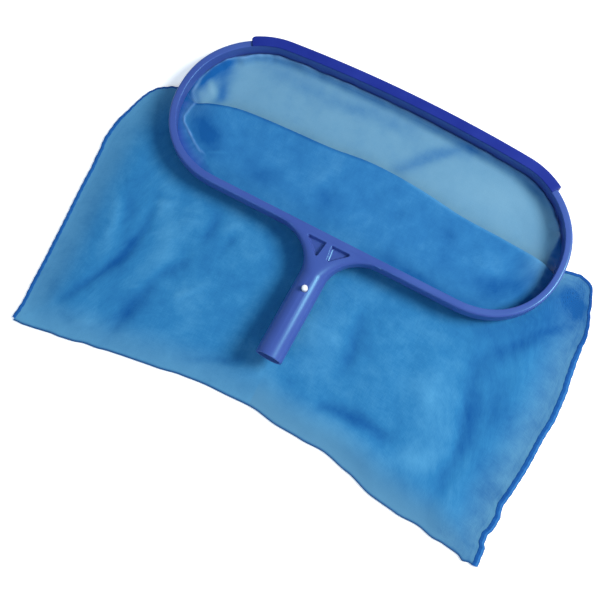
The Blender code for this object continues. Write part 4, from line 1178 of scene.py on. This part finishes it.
def spreadOut(point):    # the even outline pushed to how the bag really lies
    side = 1 if point.x > 0 else -1
    _, index, distance = seamFinder.find(Vector((abs(point.x), point.y, 0)))
    share = index / 400
    push = readOff(layOut["right" if side > 0 else "left"], share) / 1000
    fade = math.exp(-(distance / layOut["reachIn"]) ** 2)
    moved = point + seamOut(share, side) * push * fade
    x = point.x / lowerCorner.x
    edge = lowerCorner.y + bag["bottomRise"] * (1 - min(1.0, abs(x)) ** bag["bottomPower"])
    down = math.exp(-(max(0.0, point.y - edge) / layOut["bottomReach"]) ** 2)
    moved.y += readOff(layOut["bottom"], moved.x * 1000) / 1000 * down
    return moved


def hemAt(index, inside):    # over the ground, so far in from the hem
    low = math.floor(index)
    inset = bag["hemInset"] + inside
    spot = insetFromHoop(low, inset).lerp(insetFromHoop(low + 1, inset), index - low)
    spot = overGround(spot.x, spot.y, 0.0)
    return Vector((spot.x, spot.y, 0))


hemSpots = [hemAt(hemIndex, 0.0) for hemIndex in range(len(outline))]
hemFinder = kdtree.KDTree(len(hemSpots))
for hemIndex, hemSpot in enumerate(hemSpots):
    hemFinder.insert(hemSpot, hemIndex)
hemFinder.balance()
mouthLine = [(hemAt(index, width / 1000), width, bright, tone) for index, width, bright, tone in layOut["mouthEdge"]]


def fromStretch(point, start, end):    # how far off a stretch of line a spot is, and the share along it
    step = end - start
    share = min(1.0, max(0.0, (point - start).dot(step) / step.length_squared))
    return (point - start - step * share).length, share


def fromHem(point):
    _, near, _ = hemFinder.find(point)
    found = []
    for first in (near - 1, near):
        away, share = fromStretch(point, hemSpots[first % len(hemSpots)], hemSpots[(first + 1) % len(hemSpots)])
        found.append((away, first + share))
    return min(found)


def fromMouthLine(point):    # how far past the line towards the mouth's middle, and the line's own values there
    nearest, values, inside = 1e9, None, False
    for start, end in zip(mouthLine, mouthLine[1:] + mouthLine[:1]):
        away, share = fromStretch(point, start[0], end[0])
        if away < nearest:
            nearest, values = away, [between(start[key], end[key], share) for key in (1, 2, 3)]
        low, high = start[0], end[0]
        if (low.y > point.y) != (high.y > point.y):
            inside ^= point.x < low.x + (point.y - low.y) * (high.x - low.x) / (high.y - low.y)
    return (nearest if inside else -nearest), *values


# The band beside the hem: how it gathers, where it rises off the wall, the shade painted on it by the wall and the
# highlight painted along its inner edge.
hemLook = {"reach": 0.045, "gatherAlong": 0.55, "gatherAcross": 60.0, "unevenAlong": 0.35, "gather": 0.7,
           "bandStart": 0.0006, "bandSoft": 0.0014, "toneFall": 0.6, "violetFall": 0.8,
           "lift": 0.0046, "liftEven": 0.85, "liftUneven": 0.7, "clear": 0.0013, "leastCrest": 0.0028,
           "crestIn": 0.0006, "liftFall": 0.010, "liftRun": (40, 147), "liftEase": 10,
           "fade": -0.5, "fadePast": 0.0030, "fadeWide": 0.0035, "fadeFrom": 52, "ridge": 0.0010,
           "brightEven": 0.8, "brightUneven": 0.9, "brightWide": 0.0011, "lapViolet": 0.12, "lapTone": -0.05}


def hemBand(point):    # the band's share, its violet painted shade, its painted highlight edge, its tone of painted shade and gathers, the painted shade past it and the cloth's rise
    away, index = fromHem(point)
    if away > hemLook["reach"]:
        return 0.0, 0.0, 0.0, 0.0, 0.0, 0.0
    past, width, bright, tone = fromMouthLine(point)
    across = away / (away - past) if past < 0 else 1.0
    gather = noise.noise(Vector((index * hemLook["gatherAlong"], away * hemLook["gatherAcross"], 2.0)))
    uneven = noise.noise(Vector((index * hemLook["unevenAlong"], 5.0, 0)))
    band = 1 - ease((past + hemLook["bandStart"]) / hemLook["bandSoft"])
    tone = tone * (1 - hemLook["toneFall"] * across) + hemLook["gather"] * gather
    crest, clear = max(hemLook["leastCrest"], width / 1000 - hemLook["crestIn"]), hemLook["clear"]
    first, last = hemLook["liftRun"]
    lift = hemLook["lift"] * (hemLook["liftEven"] + hemLook["liftUneven"] * uneven)
    lift *= ease((away - clear) / (crest - clear)) * (1 - ease((away - crest) / hemLook["liftFall"]))
    lift *= ease((index - first) / hemLook["liftEase"]) * ease((last - index) / hemLook["liftEase"])
    # a painted shade just past the band's edge
    fade = hemLook["fade"] * math.exp(-((past - hemLook["fadePast"]) / hemLook["fadeWide"]) ** 2)
    fade *= ease((index - hemLook["fadeFrom"]) / 10)
    bright *= hemLook["brightEven"] + hemLook["brightUneven"] * uneven
    bright *= math.exp(-(past / hemLook["brightWide"]) ** 2)
    return band, band * (1 - hemLook["violetFall"] * across), bright, tone, fade, lift


# How the top cloth swells: noise as (scale, rise in mm) over bent ground, flat by its seams and by the button.
swell = {"even": 1.6, "broad": (9.0, 1.5), "middle": (26.0, 0.8), "fine": (80.0, 0.16), "streak": (1.3, 0.8),
         "warp": (14.0, 6.0), "fineWarp": (55.0, 2.2),
         "flatSeam": (0.003, 0.028), "flatBottom": 0.022, "flatButton": (0.008, 0.022),
         "sideBorder": 0.045, "lowBorder": 0.042, "borderCalm": 0.4, "leftTone": 0.40, "rightTone": -0.10,
         "lowTone": 0.75, "lowToneEnd": (0.16, 0.06)}


def undulate(point):    # how far the top cloth rises off its even height, its tone with the folds' painted light and shade, and how open its weave is
    x, y = point.x, point.y
    _, _, seamAway = seamFinder.find(Vector((abs(x), y, 0)))
    edge = lowerCorner.y + bag["bottomRise"] * (1 - min(1.0, abs(x / lowerCorner.x)) ** bag["bottomPower"])
    mask = ease((seamAway - swell["flatSeam"][0]) / swell["flatSeam"][1]) * ease((y - edge) / swell["flatBottom"])
    fromButton = math.hypot(x, y + socket["buttonReach"])
    mask *= ease((fromButton - swell["flatButton"][0]) / swell["flatButton"][1])
    spot, bent = Vector((x, y, 0.0)), Vector((x * 1000, y * 1000, 0.0))
    for key in ("warp", "fineWarp"):
        scale, reach = swell[key]
        bent += noise.noise_vector(spot * scale + Vector((0, 0, scale))) * reach
    height, tone = foldHeight(bent.x, bent.y)
    total = swell["even"] + height
    streaked = Vector((x * swell["streak"][0], y * swell["streak"][1], 0.0))
    for key, offset in (("broad", 3.1), ("middle", 7.7), ("fine", 1.3)):
        scale, rise = swell[key]
        total += rise * noise.noise(streaked * scale + Vector((offset, offset * 2, 0.5)))
    sideBorder, lowBorder = 1 - ease(seamAway / swell["sideBorder"]), 1 - ease((y - edge) / swell["lowBorder"])
    border = max(sideBorder, lowBorder)
    tone *= 1 - border * swell["borderCalm"]
    tone += sideBorder * swell["rightTone" if x > 0 else "leftTone"]
    tone += lowBorder * between(swell["lowTone"], 0.0, ease((x - swell["lowToneEnd"][0]) / swell["lowToneEnd"][1]))
    return max(0.0, total) / 1000 * mask, tone, border


# Where the cloth starts to leave the hem, the shade and light painted along the lap's fold and the row of stitches by
# the seams.
sewn = {"freeFrom": 0.006, "freeOver": 0.030, "creaseWide": 0.0016, "creaseTones": (-0.7, 0.5),
        "creaseTurn": (-0.03, 0.09), "thinOver": 0.002, "liftOver": 0.005, "stitchIn": 0.0078,
        "stitchWide": 0.0010, "stitchTone": -0.12, "edgeFrom": 0.0006, "edgeOver": 0.0012, "leftOpen": 0.6}


def measuredDown(grid, columns, rows):    # how far down the cloth each spot of the grid lies
    downs = {}
    for column in range(columns + 1):
        length = 0.0
        for row in range(rows + 1):
            if row:
                length += (grid[(column, row)] - grid[(column, row - 1)]).length
            downs[(column, row)] = length
    return downs


def hemTones(plan, tone, isFront):    # a spot's tone with the light and shade painted near the hem and the lap's fold, its rise and its shares
    band, violet, bright, bandTone, fade, lift = hemBand(plan)
    fromFold = plan.y - foldPoint((plan.x / upperCorner.x + 1) / 2).y
    if isFront:
        turn = ease((plan.x - sewn["creaseTurn"][0]) / sewn["creaseTurn"][1])
        # painted shade along the fold on the left, painted light on the right
        tone += between(*sewn["creaseTones"], turn) * math.exp(-(fromFold / sewn["creaseWide"]) ** 2)
        tone, lift = between(tone + hemLook["lapTone"], bandTone, band), bright * hemLook["ridge"]
        violet, thin = max(violet, hemLook["lapViolet"]), 0.0
    else:
        tone, lift = between(tone + fade, bandTone, band), lift * ease(fromFold / sewn["liftOver"])
        # the single layer past the fold takes the paler colour painted for the light seen through it
        thin = ease(fromFold / sewn["thinOver"])
    return tone, lift, {"hemShare": violet, "lineShare": min(1.0, bright), "thinShare": thin}


def dropSpare(piece, spare):
    if not spare:
        return
    bpy.ops.object.mode_set(mode="EDIT")
    bpy.ops.mesh.select_mode(type="VERT")
    bpy.ops.mesh.select_all(action="DESELECT")
    mesh = bmesh.from_edit_mesh(piece.data)
    mesh.verts.ensure_lookup_table()
    for index in spare:
        mesh.verts[index].select = True
    bmesh.update_edit_mesh(piece.data)
    bpy.ops.mesh.delete(type="VERT")
    bpy.ops.object.mode_set(mode="OBJECT")


def mapSheet(name, columns, rows, place, mouthRows, rise, seenRows):
    bpy.ops.object.select_all(action="DESELECT")
    bpy.ops.mesh.primitive_grid_add(x_subdivisions=columns, y_subdivisions=rows, size=2.0)
    piece = bpy.context.object
    piece.name = name
    mesh = piece.data
    spots = {vertex.index: (round((vertex.co.x + 1) / 2 * columns), round((1 - vertex.co.y) / 2 * rows))
             for vertex in mesh.vertices}
    for index, spot in spots.items():
        mesh.vertices[index].co = place(*spot)
    grid = {spot: mesh.vertices[index].co.copy() for index, spot in spots.items()}
    downs = measuredDown(grid, columns, rows)
    clothMap = mesh.uv_layers[0]
    clothMap.name = "clothMap"
    for loop in mesh.loops:
        spot = spots[loop.vertex_index]
        clothMap.data[loop.index].uv = (grid[spot].x, -downs[spot])
    for label in ("paintedLightAndTone",) + paintedShares:
        mesh.attributes.new(label, "FLOAT", "POINT")
    shares = {label: mesh.attributes[label].data for label in ("paintedLightAndTone",) + paintedShares}
    for index, spot in spots.items():
        vertex = mesh.vertices[index]
        inMouth = mouthShare(spot[0]) is not None
        free = ease((downs[spot] - sewn["freeFrom"]) / sewn["freeOver"]) if inMouth else 1.0
        plan = Vector((vertex.co.x, vertex.co.y, 0))
        up, tone, border = undulate(plan)
        lift, painted = 0.0, {}
        if inMouth and spot[1] <= seenRows:
            tone, lift, painted = hemTones(plan, tone, mouthRows > 0)
        left = downs[(spot[0], rows)] - downs[spot]
        stitched = math.exp(-((nearSeam(plan)[2] - sewn["stitchIn"]) / sewn["stitchWide"]) ** 2)
        # the tone stored on the cloth: painted light and shade from its folds, the hem band and the lap's fold, with a
        # darker stitch line
        painted["paintedLightAndTone"] = tone + sewn["stitchTone"] * stitched
        # the weave opens along the borders, and the paler colour painted for light seen through the cloth goes there
        # too
        painted["openShare"] = border * (1.0 if plan.x > 0 else sewn["leftOpen"])
        painted["edgeShare"] = 1 - ease((left - sewn["edgeFrom"]) / sewn["edgeOver"])
        for label, value in painted.items():
            shares[label][index].value = value
        vertex.co += (spreadOut(plan) - plan) * free
        vertex.co += Vector((0, hoopPlace["shift"], up * free * rise(spot[1]) + lift))
    dropSpare(piece, [index for index, (column, row) in spots.items()
                      if row < mouthRows and mouthShare(column) is None])
    for face in mesh.polygons:
        face.use_smooth = True
    return piece


def backWithCurl(column, row):    # the back panel's last rows turn up round the front panel's edge
    if row <= bag["rows"]:
        return backPoint(column, row)
    low, top = backPoint(column, bag["rows"]), frontPoint(column, bag["lapRows"] + bag["foldRows"] + bag["rows"])
    radius = (top.z - low.z) / 2
    turn = math.pi * (row - bag["rows"]) / bag["curlRows"]
    return low + Vector((0, -radius * math.sin(turn), radius * (1 - math.cos(turn))))


def makePanels():
    columns = 2 * bag["shoulderColumns"] + bag["mouthColumns"]
    laps = bag["lapRows"] + bag["foldRows"]
    back = mapSheet("bagBackPanel", columns, bag["rows"] + bag["curlRows"], backWithCurl, 0, lambda row: 0.42,
                    bag["rows"])
    front = mapSheet("bagFrontPanel", columns, laps + bag["rows"], frontPoint, laps,
                     lambda row: between(1.0, 0.85, ease((row - bag["lapRows"]) / bag["foldRows"])),
                     bag["lapRows"] + bag["foldRows"] // 2)
    dress(back, "meshBlue", "net", "mesh_cloth", "bag_back_panel")
    dress(front, "meshBlue", "net", "mesh_cloth", "bag_front_panel")
    print("bag panels")


makePanels()


# Side bindings: folded tape, stitched along its middle.

# tones are the light and shade painted on each tape's rim, outer half and inner half
binding = {"half": {-1: 0.0020, 1: 0.0032}, "shoulderShare": 0.55, "thick": 0.00135, "groove": 0.0004,
           "around": 20, "rows": 260, "trim": 0.004, "puckerLength": 0.0085, "pucker": 0.00018,
           "length": 0.33, "uneven": 0.05, "squareness": 0.55, "stitchAt": 0.1, "stitchWide": 0.16,
           "tones": {-1: (-1.6, -0.1, 0.0), 1: (-0.2, 0.9, -0.3)}, "rimFrom": 0.78, "outerFrom": 0.1}


def makeBindings():
    for side, name, node in ((-1, "seamBindingLeft", "seam_binding_left"),
                             (1, "seamBindingRight", "seam_binding_right")):
        table = layOut["right" if side > 0 else "left"]
        rings = []
        for row in range(binding["rows"] + 1):
            share = between(binding["trim"], 1.0, row / binding["rows"])
            spot = alongRun(seamRun, share)
            out = seamOut(share, side)
            middle = Vector((side * spot.x, spot.y, seamHeight(share))) + out * readOff(table, share) / 1000
            run = share * binding["length"]
            ripple = math.sin(2 * math.pi * run / binding["puckerLength"]) * binding["pucker"]
            wide = binding["half"][side] * (1 + binding["uneven"] * noise.noise(Vector((run * 60, side * 3.0, 0))))
            wide *= between(binding["shoulderShare"], 1.0, ease((share - 0.16) / 0.16))
            ring = []
            for step in range(binding["around"]):
                turn = 2 * math.pi * step / binding["around"]
                across = math.cos(turn)
                thick = binding["thick"] * abs(math.sin(turn)) ** binding["squareness"]
                thick -= binding["groove"] * math.exp(-((across - binding["stitchAt"]) / binding["stitchWide"]) ** 2)
                ring.append(middle + out * (wide * across + ripple)
                            + Vector((0, hoopPlace["shift"], math.copysign(max(0.0, thick), math.sin(turn)))))
            rings.append(ring)

        # painted light and shade across the tape: a painted shade on its rim and a painted step between its outer and
        # inner halves, all of it darker towards the shoulder
        def tapeTone(column, share):
            across = math.cos(2 * math.pi * column / binding["around"])
            rim, outer, inner = binding["tones"][side]
            shade = rim if across > binding["rimFrom"] else outer if across > binding["outerFrom"] else inner
            return between(min(shade, -0.5), shade, ease((share - 0.18) / 0.14))

        piece = wrapTube(name, rings, False, tapeTone)
        smoothOver(piece, 60)
        dress(piece, "tapeBlue", "net", "binding_tape", node)
    print("side bindings")


makeBindings()


# Mouth hem, wrapped round its cord inside the channel.

hem = {"out": 0.00565, "in": 0.00495, "centreHeight": 0.0096, "inner": 0.00135, "outer": 0.00175,
       "wrap": 290.0, "steps": 14, "pucker": 0.00012, "puckers": 210, "cordRadius": 0.0010, "strands": 3,
       "cordTurns": 150, "cordAround": 15, "cordLeast": 0.82, "cordBulge": 0.17, "finer": 2}


def makeHem():
    middleInset, low = hem["out"] - hem["outer"], hem["centreHeight"]
    reach = hem["in"] - middleInset
    junction = -math.degrees(math.atan2(math.sqrt(hem["inner"] ** 2 - reach ** 2), reach))
    profile = [(hem["out"], 0.0)]
    for radius, start, end in ((hem["outer"], 0.0, hem["wrap"]), (hem["inner"], hem["wrap"], junction)):
        for step in range(hem["steps"] + 1):
            turn = math.radians(between(start, end, step / hem["steps"]))
            profile.append((middleInset + radius * math.cos(turn), low + radius * math.sin(turn)))
    profile.append((hem["in"], 0.0))
    rings = []
    total = len(outline)
    for index in range(total):
        ripple = hem["pucker"] * math.sin(2 * math.pi * hem["puckers"] * index / total)
        ring = []
        for inset, height in profile:
            spot = insetFromHoop(index, inset - abs(ripple) * 0.3)
            ring.append(Vector((spot.x, spot.y, height + ripple * (0.5 if height > 0 else 0.0))))
        rings.append(ring)
    piece = wrapTube("mouthHem", rings, True)
    ontoHoop(piece)
    smoothOver(piece, 50)
    dress(piece, "tapeBlue", "net", "binding_tape", "mouth_hem")
    print("mouth hem")


def makeCord():    # strands laid round each other
    middleInset, low = hem["out"] - hem["outer"], hem["centreHeight"]
    rings = []
    for index in range(len(outline)):
        for part in range(hem["finer"]):
            share = part / hem["finer"]
            twist = 2 * math.pi * hem["cordTurns"] * (index + share) / len(outline)
            ring = []
            for step in range(hem["cordAround"]):
                turn = 2 * math.pi * step / hem["cordAround"]
                bulge = abs(math.cos(hem["strands"] / 2 * (turn - twist / hem["strands"])))
                radius = hem["cordRadius"] * (hem["cordLeast"] + hem["cordBulge"] * bulge)
                inset = middleInset + radius * math.cos(turn)
                spot = insetFromHoop(index, inset).lerp(insetFromHoop(index + 1, inset), share)
                ring.append(Vector((spot.x, spot.y, low + radius * math.sin(turn))))
            rings.append(ring)
    piece = wrapTube("hemCord", rings, True)
    ontoHoop(piece)
    smoothOver(piece, 60)
    dress(piece, "cordWhite", "net", "cord_core", "hem_cord")
    print("cord in the hem")


makeHem()
makeCord()
